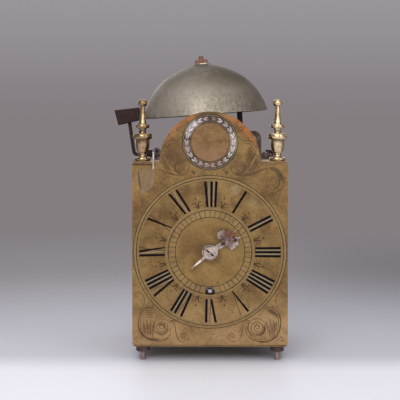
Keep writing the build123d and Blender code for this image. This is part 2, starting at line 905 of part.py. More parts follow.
front_plate = movement_plate_part(
    movement_front,
    [
        (arbor_radius + running, [(centre_x, centre_height)]),
        (pivot_radius + running, [(third_x, third_height), (escape_x, escape_height)]),
        (pivot_radius + running, [(0, pallet_height)]),
        (winding_radius + running, [(0, winding_height)]),
        (dial_foot_tip + seated, foot_points),
        (minute_stud_radius + seated, [(minute_stud_x, minute_stud_height)]),
        (click_rivet_radius + seated, [(click_x, click_height)]),
    ],
)
save(front_plate, "movement_front_plate")
back_cock_points = [(side * (cock_half - cock_post_inset), pallet_height) for side in (-1, 1)]
rear_plate = movement_plate_part(
    back_inner,
    [
        (pivot_radius + running, [(centre_x, centre_height)]),
        (pivot_radius + running, [(third_x, third_height), (escape_x, escape_height)]),
        (arbor_radius + pallet_room, [(0, pallet_height)]),
        (winding_pivot_radius + running, [(0, winding_height)]),
        (cock_tenon_radius + seated, back_cock_points),
    ],
)
save(rear_plate, "movement_rear_plate")


def movement_pillar(x, z):
    """A turned movement pillar, riveted into both plates."""
    waist_front = front_inner + pillar_end_length + pillar_cone
    waist_back = back_inner - pillar_end_length - pillar_cone
    with BuildPart() as pillar:
        with BuildSketch(lying(x, z)):
            with BuildLine():
                Polyline(
                    (0, movement_front),
                    (pillar_rivet_radius, movement_front),
                    (pillar_rivet_radius, front_inner),
                    (pillar_end_radius, front_inner),
                    (pillar_end_radius, front_inner + pillar_end_length),
                    (pillar_radius - pillar_waist, waist_front),
                )
                ThreePointArc(
                    (pillar_radius - pillar_waist, waist_front),
                    (pillar_radius, (front_inner + back_inner) / 2),
                    (pillar_radius - pillar_waist, waist_back),
                )
                Polyline(
                    (pillar_radius - pillar_waist, waist_back),
                    (pillar_end_radius, back_inner - pillar_end_length),
                    (pillar_end_radius, back_inner),
                    (pillar_rivet_radius, back_inner),
                    (pillar_rivet_radius, movement_back),
                    (0, movement_back),
                    (0, movement_front),
                )
            make_face()
        revolve(axis=arbor_axis(x, z))
    return pillar.part


with BuildPart() as movement_pillars:
    for x, z in pillar_points:
        add(movement_pillar(x, z))
save(movement_pillars.part, "movement_pillars")


def angle_bracket(face, toward):
    """An angle that ties one movement plate to the bottom plate; it lies on side toward."""
    with BuildPart() as angle:
        with BuildSketch(Plane.YZ.offset(-bracket_length / 2)):
            with BuildLine():
                Polyline(
                    (face, bottom_top),
                    (face + toward * bracket_leg, bottom_top),
                    (face + toward * bracket_leg, bottom_top + bracket_thick),
                    (face + toward * bracket_thick, bottom_top + bracket_thick),
                    (face + toward * bracket_thick, bottom_top + bracket_leg),
                    (face, bottom_top + bracket_leg),
                    close=True,
                )
            make_face()
        extrude(amount=bracket_length)
    return angle.part


with BuildPart() as movement_brackets:
    add(angle_bracket(front_inner, 1))
    add(angle_bracket(back_inner, -1))
save(movement_brackets.part, "movement_brackets")

# ---- barrel, winding arbor and ratchet ---------------------------------------------
great_module = 2 * winding_drop / (wheel_teeth + leaf_count)
drum_back = barrel_front + drum_length
great_back = drum_back + great_thick
gap_up = 90 + 180 / wheel_teeth      # a tooth space points straight up

with BuildPart() as barrel:
    with BuildSketch(facing(great_back, 0, winding_height)):
        with BuildLine():
            Polyline(*gear_outline(wheel_teeth, great_module, gap_up, **wheel_form), close=True)
        make_face()
    extrude(amount=great_thick)
    with BuildSketch(lying(0, winding_height)):
        with BuildLine():
            Polyline(
                (0, barrel_front + drum_wall),
                (drum_radius, barrel_front + drum_wall),
                (drum_radius, drum_back),
                (0, drum_back),
                close=True,
            )
        make_face()
    revolve(axis=arbor_axis(0, winding_height))
    with BuildSketch(facing(drum_back - drum_wall, 0, winding_height)):
        Circle(drum_radius - drum_wall)
    extrude(amount=drum_length, mode=Mode.SUBTRACT)
    with BuildSketch(facing(great_back + free, 0, winding_height)):
        Circle(winding_radius + running)
    extrude(amount=great_thick + drum_wall + 2 * free, mode=Mode.SUBTRACT)
save(barrel.part, "barrel")

with BuildPart() as barrel_cap:
    with BuildSketch(facing(barrel_front + drum_wall, 0, winding_height)):
        Circle(drum_radius)
        Circle(winding_radius + running, mode=Mode.SUBTRACT)
    extrude(amount=drum_wall)
    chamfer(barrel_cap.faces().sort_by(Axis.Y)[0].edges().sort_by(SortBy.RADIUS)[-1], cap_bevel)
save(barrel_cap.part, "barrel_cap")

spring_inner = winding_radius + mainspring_hook
spring_outer = drum_radius - drum_wall - mainspring_thick
spring_gain = (spring_outer - spring_inner) / (2 * mainspring_turns)

with BuildPart() as mainspring:
    with BuildSketch(facing(drum_back - drum_wall - free, 0, winding_height)):
        with BuildLine() as coil:
            edge = spring_inner
            for half in range(2 * mainspring_turns):
                sign = 1 if half % 2 == 0 else -1
                start = (sign * edge, 0)
                end = (-sign * (edge + spring_gain), 0)
                middle = ((start[0] + end[0]) / 2, sign * (edge + spring_gain / 2))
                ThreePointArc(start, middle, end)
                edge += spring_gain
        trace(line_width=mainspring_thick)
    extrude(amount=drum_length - 2 * drum_wall - 2 * free)
save(mainspring.part, "mainspring")

square_end = dial_back + winding_end_back
square_start = movement_front - ratchet_thick - square_stand

with BuildPart() as winding_arbor:
    with BuildSketch(lying(0, winding_height)):
        with BuildLine():
            Polyline(
                (0, square_start),
                (winding_radius, square_start),
                (winding_radius, back_inner - free),
                (winding_pivot_radius, back_inner - free),
                (winding_pivot_radius, movement_back),
                (0, movement_back),
                close=True,
            )
        make_face()
    revolve(axis=arbor_axis(0, winding_height))
    with BuildSketch(facing(square_start, 0, winding_height)):
        Rectangle(winding_square, winding_square)
    extrude(amount=square_start - square_end)
    chamfer(winding_arbor.faces().sort_by(Axis.Y)[0].edges(), square_bevel)
save(winding_arbor.part, "winding_arbor")

ratchet_back = movement_front - ratchet_room
ratchet_front = ratchet_back - ratchet_thick
ratchet_step = 360 / ratchet_teeth

with BuildPart() as ratchet_wheel:
    with BuildSketch(facing(ratchet_back, 0, winding_height)):
        with BuildLine():
            saw = []
            for tooth in range(ratchet_teeth):
                face = beak_angle + tooth * ratchet_step
                saw.append(polar(ratchet_radius, face - ratchet_land))
                saw.append(polar(ratchet_radius, face))
                saw.append(polar(ratchet_root, face))
            Polyline(*saw, close=True)
        make_face()
        Circle(winding_radius + seated, mode=Mode.SUBTRACT)
    extrude(amount=ratchet_thick)
save(ratchet_wheel.part, "ratchet_wheel")

# The click's beak stands before a tooth's steep face and its heel clears the next tooth.
beak_room = 0.3
beak_side = 3.1         # along the wheel: the beak's straight side and its shoulder
beak_shoulder = 1.3
beak_lift = 0.4         # out from the tooth tips: three corners of the beak
beak_tip = 0.8
beak_back = 2.0
click_half = 2.4
click_belly = 0.8
click_neck = 2.6        # the blade meets the round end this far before the stud
click_room = 0.2        # between the click and its stud's head
click_head_thick = 1.2
click_head_inset = 0.4
click_inner = ratchet_root + click_stud_out - click_half
click_outer = ratchet_root + click_stud_out + click_half + click_belly
click_head_back = ratchet_front - click_room

with BuildPart() as click:
    with BuildSketch(facing(ratchet_back, 0, winding_height)):
        with BuildLine():
            Polyline(
                by_tooth(ratchet_root + leaf_room, beak_room),
                by_tooth(ratchet_radius + beak_lift, beak_side),
                by_tooth(click_inner, click_length - click_neck),
                by_tooth(click_outer, click_length - click_neck),
                by_tooth(ratchet_radius + beak_back, beak_shoulder),
                by_tooth(ratchet_radius + beak_tip, beak_room),
                close=True,
            )
        make_face()
        with Locations((click_x, click_rise)):
            Circle(click_radius)
        with Locations((click_x, click_rise)):
            Circle(click_stud_radius + running, mode=Mode.SUBTRACT)
    extrude(amount=ratchet_thick)
save(click.part, "click")

with BuildPart() as click_stud:
    with BuildSketch(lying(click_x, click_height)):
        with BuildLine():
            Polyline(
                (0, front_inner),
                (click_rivet_radius, front_inner),
                (click_rivet_radius, movement_front),
                (click_stud_radius, movement_front),
                (click_stud_radius, click_head_back),
                (click_radius - click_head_inset, click_head_back),
                (click_radius - click_head_inset, click_head_back - click_head_thick),
                (0, click_head_back - click_head_thick),
                close=True,
            )
        make_face()
    revolve(axis=arbor_axis(click_x, click_height))
save(click_stud.part, "click_stud")

spring_foot = by_tooth(ratchet_radius + 12.0, click_length - 1.0)
spring_bow_point = by_tooth(ratchet_radius + 9.0, click_length * 0.45)
spring_tip_point = by_tooth(ratchet_radius + 2.9, 4.0)
spring_foot_radius = 2.8
spring_leaf = 0.7
spring_inset = 0.3      # the leaf's edges in from the ratchet's faces

with BuildPart() as click_spring:
    with BuildSketch(facing(movement_front, 0, winding_height)):
        with Locations(spring_foot):
            Circle(spring_foot_radius)
    extrude(amount=movement_front - ratchet_front)
    with BuildSketch(facing(ratchet_back - spring_inset, 0, winding_height)):
        with BuildLine():
            ThreePointArc(spring_foot, spring_bow_point, spring_tip_point)
        trace(line_width=spring_leaf)
    extrude(amount=ratchet_thick - 2 * spring_inset)
save(click_spring.part, "click_spring")

# ---- centre, third and escape wheels -----------------------------------------------
centre_module = 2 * centre_to_third / (wheel_teeth + leaf_count)
third_module = 2 * third_to_escape / (wheel_teeth + leaf_count)
centre_wheel_back = front_inner + centre_set_back
third_wheel_back = back_inner - third_set_forward
escape_wheel_back = back_inner - escape_set_forward
sleeve_radius = 2.2
sleeve_beyond = 1.0     # the centre pinion's leaves beyond the great wheel's faces
sleeve_back = great_back + sleeve_beyond
toward_third = third_angle
toward_escape = math.degrees(math.atan2(escape_height - third_height, escape_x - third_x))
half_tooth = 180 / wheel_teeth

# The centre wheel's sleeve carries the centre pinion and grips the centre arbor.
centre_outline = gear_outline(wheel_teeth, centre_module, toward_third + half_tooth, **wheel_form)
centre_blank = crossed_wheel(
    centre_wheel_back, centre_x, centre_height, centre_outline, wheel_thick,
    wheel_teeth * centre_module / 2 - wheel_rim, centre_hub, arbor_radius + running, spokes, wheel_rim,
)
with BuildPart() as centre_wheel:
    add(centre_blank)
    with BuildSketch(facing(sleeve_back, centre_x, centre_height)):
        Circle(sleeve_radius)
        Circle(arbor_radius + running, mode=Mode.SUBTRACT)
    extrude(amount=sleeve_back - centre_wheel_back)
    with BuildSketch(facing(sleeve_back, centre_x, centre_height)):
        with BuildLine():
            Polyline(*gear_outline(leaf_count, great_module, -90.0, **leaf_form), close=True)
        make_face()
        Circle(arbor_radius + running, mode=Mode.SUBTRACT)
    extrude(amount=great_thick + 2 * sleeve_beyond)
save(centre_wheel.part, "centre_wheel")

third_outline = gear_outline(wheel_teeth, third_module, toward_escape + half_tooth, **wheel_form)
save(
    crossed_wheel(
        third_wheel_back, third_x, third_height, third_outline, wheel_thick,
        wheel_teeth * third_module / 2 - fine_rim, third_hub, arbor_radius + seated, spokes, fine_rim,
    ),
    "third_wheel",
)
save(
    arbor_with_pinion(
        third_x, third_height, movement_front, movement_back, leaf_count, centre_module,
        toward_third + 180, centre_wheel_back - wheel_thick - leaf_overlap,
        centre_wheel_back + leaf_overlap,
    ),
    "third_arbor",
)
save(
    arbor_with_pinion(
        escape_x, escape_height, movement_front, movement_back, leaf_count, third_module,
        toward_escape + 180, third_wheel_back - wheel_thick - leaf_overlap,
        third_wheel_back + leaf_overlap,
    ),
    "escape_arbor",
)

escape_depth = 2.6
escape_rake = 2.0       # degrees: the teeth's rake, half tips and widths at the root
tip_half_angle = 0.5
root_before = 1.6
root_after = 1.2
tooth_phase = 90.2      # both pallets stand a quarter pitch from a tooth


def escape_outline():
    """Raked, pointed teeth with radial backs."""
    points = []
    for tooth in range(escape_teeth):
        at = tooth_phase + tooth * escape_step
        points.append(polar(escape_radius - escape_depth, at - escape_rake - root_before))
        points.append(polar(escape_radius, at - tip_half_angle))
        points.append(polar(escape_radius, at + tip_half_angle))
        points.append(polar(escape_radius - escape_depth, at + root_after))
    return points


save(
    crossed_wheel(
        escape_wheel_back, escape_x, escape_height, escape_outline(), wheel_thick,
        escape_radius - escape_depth - escape_rim, escape_hub, arbor_radius + seated, spokes,
        escape_spoke,
    ),
    "escape_wheel",
)

# ---- anchor and pendulum -----------------------------------------------------------
nib_half = 0.32
nib_root = 1.1
nib_room = 0.25         # between a nib and the circle of the teeth
nib_length = 3.35
nib_tip_radius = escape_radius + nib_room
nib_root_radius = nib_tip_radius + nib_length
anchor_hub = 3.2
anchor_arm = 3.0
arm_overlap = 0.6       # an arm's end inside the nib's root circle
elbow_x = 9.9           # elbow of an arm, from the middle and below the pallet arbor
elbow_drop = 1.4
arm_crown = 1.2         # where the arms meet, above that arbor

with BuildPart() as anchor:
    with BuildSketch(facing(escape_wheel_back, 0, escape_height)):
        for side in (-1, 1):
            base = 90 + side * pallet_angle
            tip_half = math.degrees(nib_half / nib_tip_radius)
            root_half = math.degrees(nib_root / nib_root_radius)
            with BuildLine():
                Polyline(
                    polar(nib_tip_radius, base - tip_half),
                    polar(nib_tip_radius, base + tip_half),
                    polar(nib_root_radius, base + root_half),
                    polar(nib_root_radius, base - root_half),
                    close=True,
                )
            make_face()
            with BuildLine():
                ThreePointArc(
                    polar(nib_root_radius - arm_overlap, base),
                    (-side * elbow_x, pallet_height - escape_height - elbow_drop),
                    (0, pallet_height - escape_height + arm_crown),
                )
            trace(line_width=anchor_arm)
        with Locations((0, pallet_height - escape_height)):
            Circle(anchor_hub)
        with Locations((0, pallet_height - escape_height)):
            Circle(arbor_radius + seated, mode=Mode.SUBTRACT)
    extrude(amount=wheel_thick)
save(anchor.part, "anchor")

cock_front = movement_back + cock_depth
pallet_end = cock_front + cock_thick

with BuildPart() as pallet_arbor:
    with BuildSketch(lying(0, pallet_height)):
        with BuildLine():
            Polyline(
                (0, movement_front),
                (pivot_radius, movement_front),
                (pivot_radius, front_inner + free),
                (arbor_radius, front_inner + free),
                (arbor_radius, cock_front - free),
                (pivot_radius, cock_front - free),
                (pivot_radius, pallet_end),
                (0, pallet_end),
                close=True,
            )
        make_face()
    revolve(axis=arbor_axis(0, pallet_height))
save(pallet_arbor.part, "pallet_arbor")

with BuildPart() as back_cock:
    with BuildSketch(facing(pallet_end)):
        with Locations((0, pallet_height)):
            SlotCenterToCenter(2 * (cock_half - cock_post_inset), cock_height)
            Circle(pivot_radius + running, mode=Mode.SUBTRACT)
    extrude(amount=cock_thick)
    with BuildSketch(facing(cock_front)):
        with Locations(*back_cock_points):
            Circle(cock_post_radius)
    extrude(amount=cock_depth)
    with BuildSketch(facing(movement_back)):
        with Locations(*back_cock_points):
            Circle(cock_tenon_radius)
    extrude(amount=movement_plate)
save(back_cock.part, "back_cock")

rod_y = movement_back + pendulum_back
bob_middle = pallet_height - pendulum_length
bob_drop = math.sqrt(bob_radius**2 - bob_foot_radius**2)
bob_rise = math.sqrt(bob_radius**2 - bob_neck_radius**2)
rod_end = bob_middle - bob_drop - rod_below
rod_top = pallet_height - rod_top_drop

with BuildPart() as pendulum_rod:
    with BuildSketch(facing(rod_y + rod_boss / 2, 0, pallet_height)):
        Circle(rod_boss_radius)
        Circle(arbor_radius + seated, mode=Mode.SUBTRACT)
    extrude(amount=rod_boss)
    with BuildSketch(upright(0, rod_y)):
        with Locations((0, (rod_end + rod_top) / 2)):
            Rectangle(2 * rod_radius, rod_top - rod_end)
        split(bisect_by=Plane(origin=(0, rod_y, 0), z_dir=(1, 0, 0)), keep=Keep.TOP)
    revolve(axis=post_axis(0, rod_y))
save(pendulum_rod.part, "pendulum_rod")

with BuildPart() as pendulum_bob:
    with BuildSketch(upright(0, rod_y, bob_middle)):
        with BuildLine():
            ThreePointArc(
                (bob_foot_radius, -bob_drop),
                (bob_radius, 0),
                (bob_neck_radius, bob_rise),
            )
            ThreePointArc(
                (bob_neck_radius, bob_rise),
                ((bob_neck_radius + bob_top_radius) / 2 - bob_waist, (bob_rise + bob_top) / 2),
                (bob_top_radius, bob_top),
            )
            Polyline(
                (bob_top_radius, bob_top),
                (rod_radius + seated, bob_top),
                (rod_radius + seated, -bob_drop),
                (bob_foot_radius, -bob_drop),
            )
        make_face()
    revolve(axis=post_axis(0, rod_y))
save(pendulum_bob.part, "pendulum_bob")

# ---- motion work -------------------------------------------------------------------
cannon_module = 2 * motion_distance / (cannon_teeth + minute_wheel_teeth)
hour_module = 2 * motion_distance / (minute_leaves + hour_wheel_teeth)
cannon_back = movement_front - motion_room
cannon_front = cannon_back - motion_thick
hour_wheel_back = cannon_back - motion_step
hour_wheel_front = hour_wheel_back - motion_thick
hour_hand_back = dial_front - hour_hand_stand
hour_hand_front = hour_hand_back - hand_thick
minute_hand_back = hour_hand_front - hand_space
minute_hand_front = minute_hand_back - hand_thick
collet_front = minute_hand_front - collet_thick
arbor_front = collet_front - arbor_beyond

motion_form = dict(addendum=0.80, dedendum=1.15, width=0.40, tip=0.20)
motion_leaf = dict(addendum=0.70, dedendum=1.10, width=0.36, tip=0.15)

with BuildPart() as cannon_pinion:
    with BuildSketch(facing(cannon_back, 0, centre_height)):
        with BuildLine():
            Polyline(
                *gear_outline(cannon_teeth, cannon_module, minute_stud_angle, **motion_form),
                close=True,
            )
        make_face()
    extrude(amount=motion_thick)
    with BuildSketch(facing(cannon_back, 0, centre_height)):
        Circle(cannon_pipe)
    extrude(amount=cannon_back - minute_hand_back)
    with BuildSketch(facing(cannon_back, 0, centre_height)):
        Circle(arbor_radius + seated)
    extrude(amount=cannon_back - minute_hand_back, mode=Mode.SUBTRACT)
save(cannon_pinion.part, "cannon_pinion")

with BuildPart() as minute_wheel:
    with BuildSketch(facing(cannon_back, minute_stud_x, minute_stud_height)):
        with BuildLine():
            Polyline(
                *gear_outline(
                    minute_wheel_teeth,
                    cannon_module,
                    minute_stud_angle + 180 + 180 / minute_wheel_teeth,
                    **motion_form,
                ),
                close=True,
            )
        make_face()
    extrude(amount=motion_thick)
    with BuildSketch(facing(cannon_front, minute_stud_x, minute_stud_height)):
        with BuildLine():
            Polyline(
                *gear_outline(minute_leaves, hour_module, minute_stud_angle + 180, **motion_leaf),
                close=True,
            )
        make_face()
    extrude(amount=cannon_front - hour_wheel_front + minute_leaf_beyond)
    with BuildSketch(facing(cannon_back, minute_stud_x, minute_stud_height)):
        Circle(minute_pivot_radius + running)
    extrude(amount=cannon_back - hour_wheel_front + stud_beyond, mode=Mode.SUBTRACT)
save(minute_wheel.part, "minute_wheel")

with BuildPart() as minute_stud:
    with BuildSketch(lying(minute_stud_x, minute_stud_height)):
        with BuildLine():
            Polyline(
                (0, front_inner),
                (minute_stud_radius, front_inner),
                (minute_stud_radius, movement_front),
                (minute_stud_radius + stud_shoulder, movement_front),
                (minute_stud_radius + stud_shoulder, cannon_back + stud_face_room),
                (minute_pivot_radius, cannon_back + stud_face_room),
                (minute_pivot_radius, hour_wheel_front - stud_beyond),
                (0, hour_wheel_front - stud_beyond),
                close=True,
            )
        make_face()
    revolve(axis=arbor_axis(minute_stud_x, minute_stud_height))
save(minute_stud.part, "minute_stud")

hour_outline = gear_outline(
    hour_wheel_teeth, hour_module, minute_stud_angle + 180 / hour_wheel_teeth, **motion_form
)
hour_blank = crossed_wheel(
    hour_wheel_back, 0, centre_height, hour_outline, motion_thick,
    hour_wheel_teeth * hour_module / 2 - fine_rim, hour_hub, cannon_pipe + running, spokes, fine_rim,
)
with BuildPart() as hour_wheel:
    add(hour_blank)
    with BuildSketch(facing(hour_wheel_back, 0, centre_height)):
        Circle(hour_pipe)
        Circle(cannon_pipe + running, mode=Mode.SUBTRACT)
    extrude(amount=hour_wheel_back - hour_hand_front)
save(hour_wheel.part, "hour_wheel")


# ---- hands -------------------------------------------------------------------------
hand_lobe = 2.9
hour_cross = 23.0
minute_cross = 22.0
spike_half = 1.3
eye_radius = 1.22       # of the lobes' eyes
cross_radius = 3.34     # of the disc in the middle of the cross
crown_radius = 2.32     # of the disc under the tip
crown_rise = 6.38       # that disc above the cross
spike_rise = 5.8        # the tip's root above it
low_lobe_x = 4.5        # lower lobes beside the shaft's line and below the cross
low_lobe_drop = 0.44
high_lobe_x = 3.34      # upper lobes beside that line and above the cross
high_lobe_rise = 3.92
tail_tip = 0.7          # half width of the tail's end


def hand(back, turn, cross, hub, bore, tail):
    """A flat pierced hand: tapering shaft, a cross of five lobes with four eyes, a pointed
    tip and, on the minute hand, a tail."""
    lobes = [
        (side * x, cross + rise)
        for x, rise in ((low_lobe_x, -low_lobe_drop), (high_lobe_x, high_lobe_rise))
        for side in (-1, 1)
    ]
    with BuildPart() as flat:
        with BuildSketch(facing(back, 0, centre_height, turn)):
            with BuildLine():
                Polyline(
                    (-hand_shaft_root, 0),
                    (-hand_shaft_tip, cross),
                    (hand_shaft_tip, cross),
                    (hand_shaft_root, 0),
                    close=True,
                )
            make_face()
            with BuildLine():
                Polyline(
                    (-spike_half, cross + spike_rise),
                    (0, hand_length),
                    (spike_half, cross + spike_rise),
                    close=True,
                )
            make_face()
            if tail > 0:
                with BuildLine():
                    Polyline(
                        (-hand_shaft_root, 0),
                        (hand_shaft_root, 0),
                        (tail_tip, -tail),
                        (-tail_tip, -tail),
                        close=True,
                    )
                make_face()
            with Locations((0, cross)):
                Circle(cross_radius)
            with Locations((0, cross + crown_rise)):
                Circle(crown_radius)
            with Locations(*lobes):
                Circle(hand_lobe)
            with Locations(*lobes):
                Circle(eye_radius, mode=Mode.SUBTRACT)
            Circle(hub)
            Circle(bore, mode=Mode.SUBTRACT)
        extrude(amount=hand_thick)
    return flat.part


save(
    hand(hour_hand_back, hour_angle, hour_cross, hub_radius, hour_pipe + seated, 0),
    "hour_hand",
)
save(
    hand(
        minute_hand_back, minute_angle, minute_cross, minute_hub_radius, arbor_radius + seated,
        minute_tail,
    ),
    "minute_hand",
)

with BuildPart() as hand_collet:
    with BuildSketch(lying(0, centre_height)):
        with BuildLine():
            Line((arbor_radius + seated, minute_hand_front), (collet_radius, minute_hand_front))
            ThreePointArc(
                (collet_radius, minute_hand_front),
                (collet_dome_radius, minute_hand_front - collet_dome),
                (arbor_radius + collet_lip, collet_front),
            )
            Polyline(
                (arbor_radius + collet_lip, collet_front),
                (arbor_radius + seated, collet_front),
                (arbor_radius + seated, minute_hand_front),
            )
        make_face()
    revolve(axis=arbor_axis(0, centre_height))
save(hand_collet.part, "hand_collet")

pin_depth = collet_front - taper_pin_radius - seated
pin_turn = math.radians(taper_pin_angle)
pin_way = (math.cos(pin_turn), 0, math.sin(pin_turn))
pin_start = (
    -pin_way[0] * taper_pin_length / 2,
    pin_depth,
    centre_height - pin_way[2] * taper_pin_length / 2,
)

with BuildPart() as hand_pin:
    with BuildSketch(Plane(origin=pin_start, z_dir=pin_way)):
        Circle(taper_pin_radius)
    extrude(amount=taper_pin_length)
save(hand_pin.part, "hand_pin")

with BuildPart() as centre_arbor:
    with BuildSketch(lying(0, centre_height)):
        with BuildLine():
            Polyline(
                (0, arbor_front),
                (arbor_radius - arbor_bevel, arbor_front),
                (arbor_radius, arbor_front + arbor_bevel_length),
                (arbor_radius, back_inner - free),
                (pivot_radius, back_inner - free),
                (pivot_radius, movement_back),
                (0, movement_back),
                close=True,
            )
        make_face()
    revolve(axis=arbor_axis(0, centre_height))
    with BuildSketch(Plane(origin=pin_start, z_dir=pin_way)):
        Circle(taper_pin_radius + seated)
    extrude(amount=taper_pin_length, mode=Mode.SUBTRACT)
save(centre_arbor.part, "centre_arbor")

# ---- bell --------------------------------------------------------------------------
tilt = math.radians(bell_tilt)
bell_up = (-math.sin(tilt), 0, math.cos(tilt))
bell_across = (math.cos(tilt), 0, math.sin(tilt))
bell_plane = Plane(origin=(bell_x, 0, bell_z), x_dir=bell_across, z_dir=(0, -1, 0))
bell_axis = Axis((bell_x, 0, bell_z), bell_up)
rim_rise = math.sqrt(bell_sphere**2 - bell_rim_radius**2)
inner_sphere = bell_sphere - bell_wall
inner_rim = math.sqrt(inner_sphere**2 - rim_rise**2)
half_out = math.radians(45)     # of a point halfway down the curve

with BuildPart() as bell:
    with BuildSketch(bell_plane):
        with BuildLine():
            outer_top = math.sqrt(bell_sphere**2 - bell_hole_radius**2)
            inner_top = math.sqrt(inner_sphere**2 - bell_hole_radius**2)
            ThreePointArc(
                (bell_rim_radius, rim_rise),
                (bell_sphere * math.sin(half_out), bell_sphere * math.cos(half_out)),
                (bell_hole_radius, outer_top),
            )
            Line((bell_hole_radius, outer_top), (bell_hole_radius, inner_top))
            ThreePointArc(
                (bell_hole_radius, inner_top),
                (inner_sphere * math.sin(half_out), inner_sphere * math.cos(half_out)),
                (inner_rim, rim_rise),
            )
            Line((inner_rim, rim_rise), (bell_rim_radius, rim_rise))
        make_face()
    revolve(axis=bell_axis)
save(bell.part, "bell")


def on_bell_axis(height):
    """A plane square to the bell's axis, height above the centre of its curve."""
    origin = (bell_x + bell_up[0] * height, 0, bell_z + bell_up[2] * height)
    return Plane(origin=origin, x_dir=bell_across, z_dir=bell_up)


with BuildPart() as bell_washer:
    with BuildSketch(on_bell_axis(bell_sphere)):
        Circle(washer_across / 2)
        Circle(stud_radius + seated, mode=Mode.SUBTRACT)
    extrude(amount=washer_thick)
save(bell_washer.part, "bell_washer")

with BuildPart() as bell_nut:
    with BuildSketch(on_bell_axis(bell_sphere + washer_thick)):
        Rectangle(bell_nut_across, bell_nut_across)
    extrude(amount=bell_nut_height)
    chamfer(bell_nut.edges().group_by(Axis(bell_plane.origin, bell_up))[-1], bell_nut_bevel)
    with BuildSketch(on_bell_axis(bell_sphere)):
        Circle(stud_radius + seated)
    extrude(amount=washer_thick + bell_nut_height, mode=Mode.SUBTRACT)
save(bell_nut.part, "bell_nut")

# ---- bell stand --------------------------------------------------------------------
crown_seat = math.sqrt(inner_sphere**2 - strap_collar_radius**2)
crown_under = crown_seat - strap_collar - strap_thick / 2
pad_end = (bell_x + bell_up[0] * crown_under, bell_z + bell_up[2] * crown_under)


def along_pad(reach):
    """A point of the strap's pad, reach to the right of the bell's axis."""
    return (pad_end[0] + reach * bell_across[0], pad_end[1] + reach * bell_across[2])


strap_route = [
    (strap_foot_end, top_top + strap_thick / 2),
    (strap_leg, top_top + strap_thick / 2),
    (strap_leg, strap_shoulder),
    (strap_neck_x, strap_shoulder),
    (strap_neck_x - strap_neck_lean, strap_bend_height),
    along_pad(strap_pad),
    along_pad(-strap_collar_radius),
]

with BuildPart() as bell_stand:
    with BuildSketch(facing(strap_width / 2)):
        with BuildLine():
            FilletPolyline(*strap_route, radius=strap_bend)
        trace(line_width=strap_thick)
    extrude(amount=strap_width)
    with BuildSketch(on_bell_axis(crown_under)):
        Circle(strap_collar_radius)
    extrude(amount=strap_thick / 2 + strap_collar)
    with BuildSketch(on_bell_axis(crown_under)):
        Circle(stud_radius)
    extrude(amount=bell_sphere + stud_above - crown_under)
    with BuildSketch(Plane.XY.offset(top_top)):
        with Locations((foot_screw_x, 0)):
            Circle(screw_radius + seated)
    extrude(amount=strap_thick, mode=Mode.SUBTRACT)
save(bell_stand.part, "bell_stand")

# ---- hammer ------------------------------------------------------------------------
cock_inner = hammer_width / 2 + cock_room
hammer_arbor_half = cock_inner + cock_wall
cock_screw_y = hammer_arbor_half + cock_screw_inset
head_plane = facing(hammer_head_depth / 2, arm_top_x, head_height, -math.degrees(lean))
channel_x = arm_top_x + arm_in_head * math.sin(lean)
channel_z = head_height - arm_in_head * math.cos(lean)

with BuildPart() as hammer_arm:
    with BuildSketch(facing(hammer_width / 2)):
        with BuildLine():
            FilletPolyline(
                (arm_top_x, head_height),
                (arm_corner_x, arm_corner_z),
                (hammer_x, arm_corner_z + arm_tail_rise),
                radius=arm_bend,
            )
        trace(line_width=arm_thick)
        with Locations((hammer_x, hammer_z)):
            Circle(hammer_hub_radius)
    extrude(amount=hammer_width)
    with BuildSketch(facing(hammer_arbor_half, hammer_x, hammer_z)):
        Circle(hammer_arbor_radius)
    extrude(amount=2 * hammer_arbor_half)
save(hammer_arm.part, "hammer_arm")

with BuildPart() as hammer_head:
    with BuildSketch(head_plane):
        with BuildLine():
            Polyline(
                (-head_out - head_top_beyond, head_outer_top),
                (head_in, head_inner_top),
                (head_in, -head_inner_foot),
                (-head_out + head_foot_short, -head_outer_foot),
                close=True,
            )
        make_face()
    extrude(amount=hammer_head_depth)
    chamfer(hammer_head.edges().filter_by(Axis.Y, reverse=True), head_bevel)
    with BuildSketch(facing(hammer_width / 2 + seated)):
        with BuildLine():
            Line(
                (arm_top_x, head_height),
                (channel_x, channel_z),
            )
        trace(line_width=arm_thick + 2 * seated)
    extrude(amount=hammer_width + 2 * seated, mode=Mode.SUBTRACT)
save(hammer_head.part, "hammer_head")

with BuildPart() as hammer_cocks:
    for side in (-1, 1):
        near = side * cock_inner
        face = near if side < 0 else near + cock_wall
        with BuildSketch(facing(face, hammer_x, hammer_z)):
            Circle(hammer_hub_radius + cock_rim)
            with Locations((0, -(hammer_z - top_top) / 2)):
                Rectangle(2 * hammer_hub_radius, hammer_z - top_top)
            Circle(hammer_arbor_radius + running, mode=Mode.SUBTRACT)
        extrude(amount=cock_wall)
        with BuildSketch(Plane.XY.offset(top_top)):
            with Locations((hammer_x, side * (cock_inner + cock_foot / 2))):
                Rectangle(2 * hammer_hub_radius, cock_foot)
        extrude(amount=cock_foot_thick)
        with BuildSketch(Plane.XY.offset(top_top)):
            with Locations((hammer_x, side * cock_screw_y)):
                Circle(cock_screw_radius + seated)
        extrude(amount=cock_wall, mode=Mode.SUBTRACT)
save(hammer_cocks.part, "hammer_cocks")

spring_rise = arm_corner_z - arm_thick / 2 - spring_thick
spring_lie = top_top + spring_thick / 2

with BuildPart() as hammer_spring:
    with BuildSketch(Plane.XZ.offset(-hammer_width / 2 + spring_touch)):
        with BuildLine():
            Line((spring_root, spring_lie), (spring_root - spring_flat, spring_lie))
            ThreePointArc(
                (spring_root - spring_flat, spring_lie),
                (hammer_x - spring_bow_x, spring_lie + spring_bow),
                (hammer_x - spring_tip_x, spring_rise + spring_touch),
            )
        trace(line_width=spring_thick)
    extrude(amount=hammer_width - 2 * spring_touch)
save(hammer_spring.part, "hammer_spring")

cock_face = top_top + cock_foot_thick

